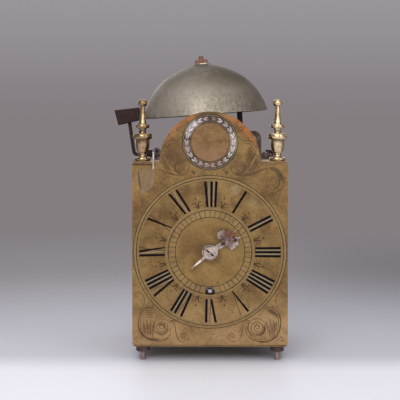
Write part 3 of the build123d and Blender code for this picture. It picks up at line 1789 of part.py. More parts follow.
with BuildPart() as plate_screws:
    for x, y, base, shank, head in (
        (foot_screw_x, 0, top_top + strap_thick, screw_radius, screw_head_radius),
        (hammer_x, -cock_screw_y, cock_face, cock_screw_radius, cock_screw_head_radius),
        (hammer_x, cock_screw_y, cock_face, cock_screw_radius, cock_screw_head_radius),
    ):
        with BuildSketch(Plane.XY.offset(top_top)):
            with Locations((x, y)):
                Circle(shank)
        extrude(amount=base - top_top)
        with BuildSketch(Plane.XY.offset(base)):
            with Locations((x, y)):
                Circle(head)
        extrude(amount=screw_head_height)
save(plate_screws.part, "plate_screws")
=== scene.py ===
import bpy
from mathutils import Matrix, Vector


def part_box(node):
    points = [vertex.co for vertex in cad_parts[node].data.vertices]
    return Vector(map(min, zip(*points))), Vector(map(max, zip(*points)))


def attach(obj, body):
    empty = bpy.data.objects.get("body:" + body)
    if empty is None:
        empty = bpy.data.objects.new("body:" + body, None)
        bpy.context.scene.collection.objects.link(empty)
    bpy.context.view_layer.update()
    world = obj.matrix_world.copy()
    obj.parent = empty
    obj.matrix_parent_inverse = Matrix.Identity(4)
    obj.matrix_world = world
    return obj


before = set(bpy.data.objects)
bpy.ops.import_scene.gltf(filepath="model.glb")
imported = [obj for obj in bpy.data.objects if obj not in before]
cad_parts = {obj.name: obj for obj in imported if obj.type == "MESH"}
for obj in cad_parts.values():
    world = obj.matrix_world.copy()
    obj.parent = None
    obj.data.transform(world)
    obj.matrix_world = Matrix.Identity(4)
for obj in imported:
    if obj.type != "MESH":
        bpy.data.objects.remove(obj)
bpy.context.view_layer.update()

import math

import bpy
from mathutils import Vector

bl_info = {
    "name": "Lantern clock dressing",
    "version": (1, 0, 0),
    "blender": (4, 5, 0),
    "location": "View3D > Sidebar > Lantern Clock",
    "description": "Engraves, patinates and lights a square lantern clock",
    "category": "Object",
}

MM = 0.001


def middle_height(node):
    """Height of the middle of a node, in metres."""
    low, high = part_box(node)
    return (low.z + high.z) / 2


DIAL_LOW, DIAL_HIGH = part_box("dial_plate")
DIAL_FACE = DIAL_LOW.y
RING_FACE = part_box("husk_ring")[0].y
ROUNDEL_Z = middle_height("husk_ring")
HUB_Z = middle_height("hand_collet")
ARCH_RADIUS = 0.0505
ARCH_Z = DIAL_HIGH.z - ARCH_RADIUS
FOOT_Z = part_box("foot_collars")[0].z

# The same heights in millimetres, for the engraving and the stains.
HUB, ROUNDEL, ARCH = HUB_Z / MM, ROUNDEL_Z / MM, ARCH_Z / MM

# How far the flat work stands in front of its face, in millimetres, so that it shows.
WAX_LIFT, HAIRLINE_LIFT, HIGHLIGHT_LIFT, CUT_LIFT = 0.06, 0.05, 0.04, 0.03
SHADE_LIFT, BURNISH_LIFT, TRIM_LIFT = 0.02, 0.015, 0.01


def srgb(red, green, blue):
    """A colour written in 0 to 255, as linear red, green, blue and alpha."""
    parts = [c / 255 for c in (red, green, blue)]
    linear = [c / 12.92 if c <= 0.04045 else ((c + 0.055) / 1.055) ** 2.4 for c in parts]
    return (*linear, 1.0)


# ---- sizes and colours that a user may change ---------------------------------------
def length(name, about, value):
    return bpy.props.FloatProperty(
        name=name, description=about, default=value * MM, unit="LENGTH", subtype="DISTANCE",
        precision=5,
    )


def colour(name, about, red, green, blue):
    return bpy.props.FloatVectorProperty(
        name=name, description=about, default=srgb(red, green, blue)[:3], size=3,
        subtype="COLOR", min=0.0, max=1.0,
    )


def share(name, about, value):
    return bpy.props.FloatProperty(
        name=name, description=about, default=value, min=0.0, max=1.0, subtype="FACTOR"
    )


class DialSizes(bpy.types.PropertyGroup):
    """Radii and line widths of the engraved dial."""

    outer_circle: length("Outer circle", "Radius of the outermost engraved circle", 76.8)
    second_circle: length("Second circle", "Radius of the circle inside it", 73.8)
    numeral_top: length("Numeral tops", "Radius at which the numerals end", 71.0)
    numeral_foot: length("Numeral feet", "Radius at which the numerals begin", 45.3)
    quarter_outer: length("Quarter ring outside", "Outer radius of the divided ring", 41.8)
    quarter_inner: length("Quarter ring inside", "Inner radius of the divided ring", 34.9)
    bar: length("Numeral bar", "Width of a thick stroke of a numeral", 2.6)
    hairline: length("Hairline", "Width of a thin engraved line", 0.46)
    divisions: bpy.props.IntProperty(
        name="Divisions", description="Parts of the quarter ring", default=48, min=12, max=96
    )


class FinishColours(bpy.types.PropertyGroup):
    """Main colours of the metals."""

    dial: colour("Dial brass", "Rubbed brass of the dial", 143, 116, 69)
    dial_tarnish: colour("Dial tarnish", "Brown of the dial's tarnished parts", 104, 79, 45)
    case: colour("Case brass", "Brass of the plates, posts and doors", 148, 121, 80)
    case_tarnish: colour("Case tarnish", "Brown in the case's hollows", 124, 99, 65)
    polished: colour("Polished brass", "Brass of the finials and knobs", 232, 206, 162)
    movement: colour("Movement brass", "Lacquered brass of the movement", 190, 152, 86)
    silver: colour("Silvering", "Worn silvering of the husk ring", 182, 171, 164)
    steel: colour("Hand steel", "Bright steel of the hands", 212, 196, 184)
    bell: colour("Bell metal", "Grey-green metal of the bell", 145, 138, 123)
    bell_dark: colour("Bell patina", "Olive patina on the bell", 98, 88, 66)
    iron: colour("Forged iron", "Black iron of the stand and hammer", 36, 27, 26)
    rust: colour("Rust", "Red-brown rust", 122, 68, 46)
    wax: colour("Black wax", "Wax that fills the numerals", 20, 13, 15)


class StudioSettings(bpy.types.PropertyGroup):
    """The floor, the backdrop and the lamps."""

    floor: colour("Floor", "Pale floor under the clock", 210, 210, 219)
    backdrop: colour("Backdrop", "Grey of the far backdrop", 132, 126, 129)
    lamp_level: share("Lamp level", "Strength of all the lamps together", 0.47)


# ---- wiring of node trees -----------------------------------------------------------
class Board:
    """A node tree being wired."""

    def __init__(self, tree):
        self.tree = tree

    def feed(self, socket, value):
        if isinstance(value, bpy.types.NodeSocket):
            self.tree.links.new(value, socket)
        else:
            socket.default_value = value

    def add(self, kind, inputs=None, **settings):
        made = self.tree.nodes.new("ShaderNode" + kind)
        for name, value in settings.items():
            setattr(made, name, value)
        for name, value in (inputs or {}).items():
            self.feed(made.inputs[name], value)
        return made

    def blend(self, factor, first, second, how="MIX"):
        inputs = {0: factor, 6: first, 7: second}
        return self.add("Mix", inputs, data_type="RGBA", blend_type=how).outputs[2]

    def maths(self, how, first, second):
        return self.add("Math", {0: first, 1: second}, operation=how).outputs[0]

    def plus(self, first, second):
        return self.maths("ADD", first, second)

    def times(self, first, second):
        return self.maths("MULTIPLY", first, second)

    def most(self, first, second):
        return self.maths("MAXIMUM", first, second)

    def rest_of(self, mask):
        return self.maths("SUBTRACT", 1.0, mask)

    def spread(self, value, low, high, to_low=0.0, to_high=1.0, smooth=True):
        """A value's way from low to high, turned into one from to_low to to_high."""
        return self.add("MapRange", {
            "Value": value, "From Min": low, "From Max": high, "To Min": to_low, "To Max": to_high,
        }, interpolation_type="SMOOTHSTEP" if smooth else "LINEAR").outputs["Result"]

    def place(self):
        """Position in the clock's own frame, in metres."""
        return self.add("TexCoord").outputs["Object"]

    def apart(self, vector):
        """A vector's x, y and z."""
        return self.add("SeparateXYZ", {"Vector": vector}).outputs

    def noise(self, vector, scale, detail=4.0, rough=0.55):
        return self.add("TexNoise", {
            "Vector": vector, "Scale": scale, "Detail": detail, "Roughness": rough,
        }, noise_dimensions="3D").outputs[0]

    def stretched(self, vector, across, depth, upward):
        scale = (across, depth, upward)
        mapping = self.add("Mapping", {"Vector": vector, "Scale": scale}, vector_type="POINT")
        return mapping.outputs[0]

    def nearness(self, vector, centre, inner, outer, axes=(1.0, 1.0, 1.0)):
        """1 within inner of a point, falling to 0 at outer, measured along the axes that are 1."""
        shift = self.add("VectorMath", {0: vector, 1: centre}, operation="SUBTRACT").outputs[0]
        counted = self.add("VectorMath", {0: shift, 1: axes}, operation="MULTIPLY").outputs[0]
        size = self.add("VectorMath", {0: counted}, operation="LENGTH").outputs["Value"]
        return self.spread(size, inner, outer, 1.0, 0.0)

    def spot(self, vector, across, up, inner, outer):
        """A round place in millimetres as seen from the front, at any depth."""
        centre = (across * MM, 0.0, up * MM)
        return self.nearness(vector, centre, inner * MM, outer * MM, (1.0, 0.0, 1.0))

    def stain(self, tint, mask, strength, shade):
        """The tint with a shade, written in 0 to 255, laid over it where the mask is."""
        return self.blend(self.times(mask, strength), tint, srgb(*shade))

    def spots(self, tint, vector, rows, ragged):
        """Round stains. Each row is x, z, inner and outer radius in millimetres, the strength
        and the shade; ragged is a mask that breaks all of them up."""
        for across, up, inner, outer, strength, shade in rows:
            mask = self.times(self.spot(vector, across, up, inner, outer), ragged)
            tint = self.stain(tint, mask, strength, shade)
        return tint

    def background_rays(self):
        """1 for what the camera sees, straight or in metal, and 0 for the light on the clock."""
        path = self.add("LightPath").outputs
        direct = self.most(path["Is Camera Ray"], path["Is Glossy Ray"])
        return self.most(direct, path["Is Transmission Ray"])

    def use(self, group, **inputs):
        made = self.add("Group", node_tree=group)
        for name, value in inputs.items():
            self.feed(made.inputs[name.replace("_", " ")], value)
        return made


def start_group(name, inputs, outputs):
    """A new node group with those sockets, its board, and its input and output nodes."""
    group = bpy.data.node_groups.new(name, "ShaderNodeTree")
    for way, sockets in (("INPUT", inputs), ("OUTPUT", outputs)):
        for label, kind, value in sockets:
            made = group.interface.new_socket(label, in_out=way, socket_type="NodeSocket" + kind)
            if value is not None:
                made.default_value = value
    nodes = group.nodes
    return group, Board(group), nodes.new("NodeGroupInput"), nodes.new("NodeGroupOutput")


def mottling_group():
    """Clean metal that goes through tarnish to small stains, with fine grain."""
    group, board, given, gives = start_group(
        "mottling",
        [
            ("Clean", "Color", (0.6, 0.5, 0.3, 1)), ("Tarnish", "Color", (0.3, 0.2, 0.1, 1)),
            ("Stain", "Color", (0.2, 0.1, 0.1, 1)), ("Patch Size", "Float", 0.02),
            ("Tarnish Share", "Float", 0.5), ("Stain Share", "Float", 0.3),
        ],
        [("Colour", "Color", None), ("Dullness", "Float", None), ("Height", "Float", None)],
    )
    at = board.place()
    density = board.maths("DIVIDE", 1.0, given.outputs["Patch Size"])
    wide = board.noise(at, density, 5.0, 0.6)
    small = board.noise(at, board.times(density, 5.0), 4.0, 0.6)
    fine = board.noise(at, board.times(density, 26.0), 3.0, 0.6)
    tarnish = board.spread(board.plus(wide, given.outputs["Tarnish Share"]), 0.8, 1.2)
    stain = board.spread(board.plus(small, given.outputs["Stain Share"]), 0.86, 1.1)
    body = board.blend(tarnish, given.outputs["Clean"], given.outputs["Tarnish"])
    body = board.blend(stain, body, given.outputs["Stain"])
    shade = board.spread(fine, 0.3, 0.7, 0.86, 1.12, smooth=False)
    grey = board.add("CombineColor", {"Red": shade, "Green": shade, "Blue": shade})
    board.feed(gives.inputs["Colour"], board.blend(1.0, body, grey.outputs[0], "MULTIPLY"))
    board.feed(gives.inputs["Dullness"], board.most(tarnish, stain))
    board.feed(gives.inputs["Height"], board.plus(board.times(small, 0.6), fine))
    return group


def edge_wear_group():
    """Where an edge stands proud and is rubbed bright."""
    group, board, given, gives = start_group(
        "edge_wear", [("Width", "Float", 0.001)], [("Mask", "Float", None)]
    )
    rounded = board.add("Bevel", {"Radius": given.outputs["Width"]}, samples=4).outputs[0]
    true = board.add("NewGeometry").outputs["Normal"]
    turn = board.add("VectorMath", {0: rounded, 1: true}, operation="DOT_PRODUCT")
    rough = board.noise(board.place(), 160.0, 4.0, 0.6)
    patchy = board.times(
        board.rest_of(turn.outputs["Value"]), board.spread(rough, 0.3, 0.65, 0.4, 1.6)
    )
    board.feed(gives.inputs["Mask"], board.spread(patchy, 0.02, 0.2))
    return group


def recess_dirt_and_shade_group():
    """Where dirt gathers and where shade falls, both painted dark: hollows, corners and the feet of
    mouldings.
    """
    group, board, given, gives = start_group(
        "recess_dirt_and_shade", [("Reach", "Float", 0.004)], [("Mask", "Float", None)]
    )
    # painted shade: the less open a point is, the darker it is painted
    open_sky = board.add(
        "AmbientOcclusion", {"Distance": given.outputs["Reach"]}, samples=6, only_local=True
    )
    rough = board.noise(board.place(), 220.0, 4.0, 0.6)
    shut = board.times(
        board.rest_of(open_sky.outputs["AO"]), board.spread(rough, 0.2, 0.7, 0.7, 1.5)
    )
    board.feed(gives.inputs["Mask"], board.spread(shut, 0.12, 0.62))
    return group


def tool_marks_group():
    """Fine parallel marks; Stretch says how close they lie along each axis."""
    group, board, given, gives = start_group(
        "tool_marks", [("Stretch", "Vector", (900.0, 20.0, 20.0))], [("Value", "Float", None)]
    )
    scaled = board.add(
        "VectorMath", {0: board.place(), 1: given.outputs["Stretch"]}, operation="MULTIPLY"
    )
    board.feed(gives.inputs["Value"], board.noise(scaled.outputs[0], 1.0, 3.0, 0.65))
    return group


GROUP_MAKERS = {
    "mottling": mottling_group, "edge_wear": edge_wear_group,
    "recess_dirt_and_shade": recess_dirt_and_shade_group, "tool_marks": tool_marks_group,
}
GROUPS = {}


def group_named(name):
    """A node group, built at its first use."""
    if name not in GROUPS:
        GROUPS[name] = GROUP_MAKERS[name]()
    return GROUPS[name]


# ---- finishes -----------------------------------------------------------------------
DIRT_AND_SHADE = (48, 36, 26)
WORN_EDGE = 0.0012
RELIEF = 0.0006
FINISHES = {}


def metal(
    name, clean, tarnish, stain, patch, tarnish_share, stain_share, metallic, smooth, dull, bump,
    dirt_and_shade, dirt_and_shade_reach=0.004, wear=0.0, wear_colour=None, marks=None, mark_depth=0.0, changes=None,
    specular=0.5,
):
    """A worn metal, darkened in its hollows by dirt and painted shade.  marks are the tool marks'
    closeness along x, y and z; changes gets the board and the colour and returns the colour
    that local stains and painted light and shade leave."""
    finish = bpy.data.materials.new(name)
    finish.use_nodes = True
    finish.node_tree.nodes.clear()
    board = Board(finish.node_tree)
    output = board.add("OutputMaterial")
    shader = board.add("BsdfPrincipled")
    board.feed(output.inputs["Surface"], shader.outputs[0])
    mottled = board.use(
        group_named("mottling"), Clean=clean, Tarnish=tarnish, Stain=stain, Patch_Size=patch,
        Tarnish_Share=tarnish_share, Stain_Share=stain_share,
    )
    tint = mottled.outputs["Colour"]
    dullness = mottled.outputs["Dullness"]
    height = mottled.outputs["Height"]
    if changes:
        tint = changes(board, tint)
    # painted shade with the dirt: the colour darkens where the hollows are shut in
    if dirt_and_shade:
        hollow = board.use(group_named("recess_dirt_and_shade"), Reach=dirt_and_shade_reach).outputs["Mask"]
        hollow = board.times(hollow, dirt_and_shade)
        tint = board.blend(hollow, tint, srgb(*DIRT_AND_SHADE))
        dullness = board.most(dullness, hollow)
    if wear:
        rubbed = board.use(group_named("edge_wear"), Width=WORN_EDGE).outputs["Mask"]
        rubbed = board.times(rubbed, wear)
        tint = board.blend(rubbed, tint, srgb(*wear_colour))
        dullness = board.times(dullness, board.rest_of(rubbed))
    if marks:
        lines = board.use(group_named("tool_marks"), Stretch=marks).outputs["Value"]
        height = board.plus(height, board.times(lines, mark_depth))
    roughness = board.spread(dullness, 0.0, 1.0, smooth, dull, smooth=False)
    relief = board.add("Bump", {"Height": height, "Strength": bump, "Distance": RELIEF})
    for label, value in (
        ("Base Color", tint), ("Roughness", roughness), ("Metallic", metallic),
        ("Specular IOR Level", specular), ("Normal", relief.outputs[0]),
    ):
        board.feed(shader.inputs[label], value)
    FINISHES[name] = finish


def dial_stains_and_shadows(board, tint):
    """The dial's own marks: pink lower edge, olive centre, grey worn corner, coppery arch; and
    painted light, shade and shadows.
    """
    at = board.place()
    x, _, z = board.apart(at)
    uneven = board.noise(at, 70.0, 5.0, 0.65)
    speck = board.noise(at, 420.0, 4.0, 0.7)
    wide_x = board.maths("ABSOLUTE", x, 0.0)
    whole, ragged = 1.0, board.spread(uneven, 0.3, 0.62, 0.35, 1.0)

    # pink lower edge, lighter too with painted floor light; the centre and the paler quarter ring
    lower = board.times(board.spread(z, 0.085, 0.02), ragged)
    tint = board.stain(tint, lower, 0.55, (190, 154, 111))
    tint = board.spots(tint, at, ((66.0, 36.0, 8.0, 40.0, 0.35, (188, 156, 114)),), ragged)
    centre = board.spot(at, 0.0, HUB, 34.9, 35.5)
    tint = board.stain(tint, centre, 0.5, (148, 118, 68))
    ring = board.times(board.spot(at, 0.0, HUB, 41.6, 42.0), board.rest_of(centre))
    tint = board.stain(tint, ring, 0.4, (162, 137, 92))
    # painted shade at the left of the centre, and a darker place low in the left field
    tint = board.spots(tint, at, (
        (-18.0, HUB + 3.0, 4.0, 20.0, 0.9, (104, 75, 40)),
        (-64.0, 140.0, 12.0, 46.0, 0.3, (98, 72, 44)),
    ), ragged)
    # painted shadows of the hands, round the hub and beside the stems and heads
    tint = board.spots(tint, at, (
        (across, HUB + up, inner, outer, 0.36, (84, 60, 30)) for across, up, inner, outer in (
            (-4.0, 1.5, 7, 14), (8.5, 18.0, 4, 11), (8.0, 12.0, 1, 7), (-13.0, -12.0, 1, 8),
            (21.5, 8.0, 3, 9), (2.5, -3.0, 8, 12), (27.0, 12.6, 1, 5),
        )
    ), whole)

    # the worn corner: a shield with a paler rim, 64.6 mm left of the middle
    wobble = board.times(board.maths("SUBTRACT", uneven, 0.5), 0.011)
    off_x = board.plus(board.maths("ABSOLUTE", board.plus(x, 0.0646), 0.0), wobble)
    off_x = board.plus(off_x, board.times(board.spread(z, 0.184, 0.169), 0.006))
    up_z = board.plus(z, wobble)
    tall = board.times(board.spread(up_z, 0.1690, 0.1710), board.spread(up_z, 0.1952, 0.1924))
    shield = board.times(board.spread(off_x, 0.0092, 0.0076), tall)
    tint = board.stain(tint, shield, 0.65, (122, 104, 84))
    rim = board.times(shield, board.spread(off_x, 0.0062, 0.0082))
    tint = board.stain(tint, board.times(rim, ragged), 0.45, (160, 142, 118))

    # copper showing along the arch's edge, and soot at its crown
    inside = board.spot(at, 0.0, ARCH, 45.0, 47.0)
    edge = board.times(board.rest_of(inside), board.spread(z, ARCH_Z + 0.012, ARCH_Z + 0.024))
    sides = board.times(board.spread(wide_x, 0.011, 0.019), board.spread(wide_x, 0.0486, 0.044))
    bare = board.times(board.times(edge, sides), ragged)
    tint = board.stain(tint, bare, 0.6, (176, 106, 62))
    tint = board.spots(tint, at, (
        (36.5, ARCH + 31.0, 1.0, 7.0, 0.5, (176, 106, 60)),
        (-33.5, ARCH + 33.5, 1.0, 6.0, 0.45, (164, 96, 58)),
    ), ragged)
    crown = board.times(edge, board.spread(wide_x, 0.016, 0.006))
    tint = board.stain(tint, crown, 0.75, (88, 68, 42))
    tint = board.spots(tint, at, (
        (0.0, ARCH + 49.0, 3.0, 13.0, 0.6, (86, 66, 44)),
        (-37.0, 210.0, 8.0, 26.0, 0.55, (98, 72, 44)),
    ), ragged)

    # painted shade: the winding hole's dark opening, laid on as black in a ring round the hole
    tint = board.spots(tint, at, ((0.0, HUB - 39.6, 4.6, 5.3, 0.94, (24, 18, 18)),), whole)

    # painted shadows at the top corners under the finials, coppery side edges, painted shade on the
    # lower edge
    for first, second, broken, strength, shade in (
        (board.spread(z, 0.1964, 0.1982), board.spread(x, -0.0535, -0.056),
         whole, 0.85, (50, 36, 30)),
        (board.spread(z, 0.1978, 0.2), board.spread(x, 0.05, 0.056),
         ragged, 0.6, (96, 78, 62)),
        (board.spread(wide_x, 0.0752, 0.0776), board.spread(z, 0.12, 0.175),
         ragged, 0.35, (170, 112, 74)),
    ):
        mask = board.times(board.times(first, second), broken)
        tint = board.stain(tint, mask, strength, shade)
    tint = board.stain(tint, board.spread(z, 0.0172, 0.0156), 0.7, (92, 66, 46))

    # greyish rubbed places right of XII, and small orange and dark specks all over
    tint = board.spots(tint, at, (
        (25.0, 173.0, 2.0, 8.0, 0.5, (166, 150, 114)),
        (42.0, 160.0, 2.0, 8.0, 0.45, (156, 136, 100)),
        (30.0, 192.0, 4.0, 26.0, 0.3, (96, 80, 58)),
    ), ragged)
    tint = board.stain(tint, board.spread(speck, 0.58, 0.7), 0.45, (176, 126, 74))
    return board.stain(tint, board.spread(speck, 0.45, 0.34), 0.55, (80, 62, 36))


def roundel_marks(board, tint):
    """Rows of old burnishing strokes, and a reddish lower half."""
    at = board.place()
    z = board.apart(at)[2]
    strokes = board.noise(board.stretched(at, 420.0, 60.0, 950.0), 1.0, 4.0, 0.7)
    rows = board.noise(board.stretched(at, 40.0, 40.0, 260.0), 1.0, 3.0, 0.6)
    dark = board.times(board.spread(strokes, 0.5, 0.62), board.spread(rows, 0.4, 0.58, 0.15, 0.75))
    tint = board.blend(dark, tint, srgb(92, 64, 42))
    tint = board.blend(board.spread(strokes, 0.44, 0.34, 0.0, 0.3), tint, srgb(178, 148, 100))
    lower = board.spread(z, ROUNDEL_Z, ROUNDEL_Z - 0.018, 0.0, 0.5)
    return board.blend(lower, tint, srgb(142, 108, 84))


def silver_wear_and_highlights(board, tint):
    """Painted highlights on the ring's silver at its upper left and right, brass at its foot, and
    soot at its crown.
    """
    at = board.place()
    return board.spots(tint, at, (
        (0.0, ROUNDEL - 24.0, 8.0, 22.0, 0.6, (112, 84, 68)),
        # painted highlights: near-white places where the light catches the ring
        (-18.5, ROUNDEL + 15.0, 5.0, 12.0, 0.4, (232, 224, 224)),
        (23.0, ROUNDEL, 5.0, 14.0, 0.35, (236, 222, 208)),
        (-23.5, ROUNDEL - 6.0, 2.0, 9.0, 0.4, (160, 132, 124)),
        (2.0, ROUNDEL + 25.0, 3.0, 9.5, 0.85, (72, 54, 42)),
        (13.5, ROUNDEL + 19.5, 1.0, 3.6, 0.6, (66, 50, 40)),
    ), board.spread(board.noise(at, 300.0, 4.0, 0.65), 0.3, 0.56, 0.5, 1.0))


def stand_stains(board, tint):
    """The stud's end rusted red, and the strap's right foot rubbed paler."""
    at = board.place()
    x, _, z = board.apart(at)
    uneven = board.noise(at, 200.0, 4.0, 0.65)
    tint = board.blend(board.spread(z, 0.298, 0.302, 0.0, 0.85), tint, srgb(146, 104, 86))
    foot = board.times(board.spread(x, 0.028, 0.04), board.spread(z, 0.242, 0.228))
    foot = board.times(foot, board.spread(uneven, 0.35, 0.6, 0.2, 0.75))
    return board.blend(foot, tint, srgb(126, 110, 96))


def bell_stains_and_painted_light(board, tint):
    """Fine upright scratches low on the bell, a painted highlight at the left, painted shade in the
    patina's olive over the crown and the right side, a dark rim and specks."""
    at = board.place()
    x, _, z = board.apart(at)
    streaks = board.noise(board.stretched(at, 380.0, 380.0, 170.0), 1.0, 6.0, 0.75)
    clouds = board.noise(at, 40.0, 5.0, 0.65)
    pits = board.noise(at, 520.0, 3.0, 0.7)
    # painted highlight: a paler place left of the middle, where the light falls
    pale = board.times(
        board.spot(at, -36, 262, 4, 40), board.spread(clouds, 0.3, 0.56, 0.15, 0.5)
    )
    tint = board.blend(pale, tint, srgb(184, 176, 162))
    low = board.spread(z, 0.282, 0.256)
    scratched = board.times(low, board.spread(streaks, 0.44, 0.6, 0.0, 0.5))
    tint = board.blend(scratched, tint, srgb(184, 173, 157))
    tint = board.blend(board.spread(streaks, 0.46, 0.36, 0.0, 0.35), tint, srgb(104, 98, 82))
    # painted shade: the right side, the crown and a little of the left edge darkened, broken by
    # clouds
    right = board.spread(x, 0.016, 0.062)
    left = board.times(board.spread(x, -0.030, -0.062), 0.12)
    crown = board.times(board.spread(z, 0.268, 0.29), board.spread(x, -0.03, 0.004, 0.5, 1.1))
    reach = board.most(board.most(right, left), crown)
    dark = board.times(reach, board.spread(clouds, 0.3, 0.56, 0.45, 1.0))
    tint = board.stain(tint, dark, 0.8, (90, 81, 64))
    rim = board.spread(z, 0.2462, 0.2448)
    rim = board.times(rim, board.spread(clouds, 0.36, 0.56, 0.2, 0.9))
    tint = board.blend(rim, tint, srgb(66, 62, 52))
    return board.blend(board.spread(pits, 0.6, 0.7, 0.0, 0.5), tint, srgb(84, 76, 60))


def case_stains(board, tint):
    """Pale ends below the foot collars, and a darker band along the walls' top and bottom."""
    at = board.place()
    z = board.apart(at)[2]
    uneven = board.noise(at, 60.0, 5.0, 0.65)
    feet = board.times(
        board.spread(z, FOOT_Z, FOOT_Z - 0.001), board.spread(uneven, 0.25, 0.5, 0.7, 1.0)
    )
    tint = board.stain(tint, feet, 0.8, (176, 158, 158))
    band = board.most(board.spread(z, 0.05, 0.016), board.spread(z, 0.176, 0.2))
    band = board.times(band, board.spread(uneven, 0.35, 0.65, 0.1, 0.5))
    return board.blend(band, tint, srgb(78, 58, 40))


def hand_rust_and_shade(board, tint):
    """Rust on the minute hand's head, painted shade in the gap between the two stems, and a warm
    tail.
    """
    at = board.place()
    return board.spots(tint, at, (
        (across, HUB + up, inner, outer, 1.0, shade) for across, up, inner, outer, shade in (
            (0.0, 0.0, 5.0, 9.0, (200, 182, 168)), (17.0, 15.0, 4.0, 14.0, (104, 80, 76)),
            (19.4, 19.4, 2.6, 6.4, (110, 72, 54)), (17.0, 22.2, 0.8, 2.2, (84, 30, 26)),
            (25.4, 12.4, 0.9, 2.8, (54, 38, 32)), (23.5, 15.5, 0.8, 2.2, (84, 42, 34)),
            (-12.0, -10.4, 1.5, 5.5, (244, 232, 212)), (-19.0, -16.4, 1.0, 4.5, (176, 140, 104)),
            # painted shade: near black in the gap between the two stems
            (12.9, 9.4, 1.6, 2.5, (20, 14, 13)),
        )
    ), board.spread(board.noise(at, 420.0, 4.0, 0.7), 0.34, 0.52, 0.4, 1.0))


def pin_darkening(board, tint):
    """The taper pin painted near black round its middle."""
    return board.blend(board.spot(board.place(), 0.0, HUB, 4.2, 5.2), tint, srgb(26, 18, 20))


TURNED = {"dirt_and_shade_reach": 0.005, "wear": 0.45, "marks": (20.0, 20.0, 2600.0), "mark_depth": 0.4}
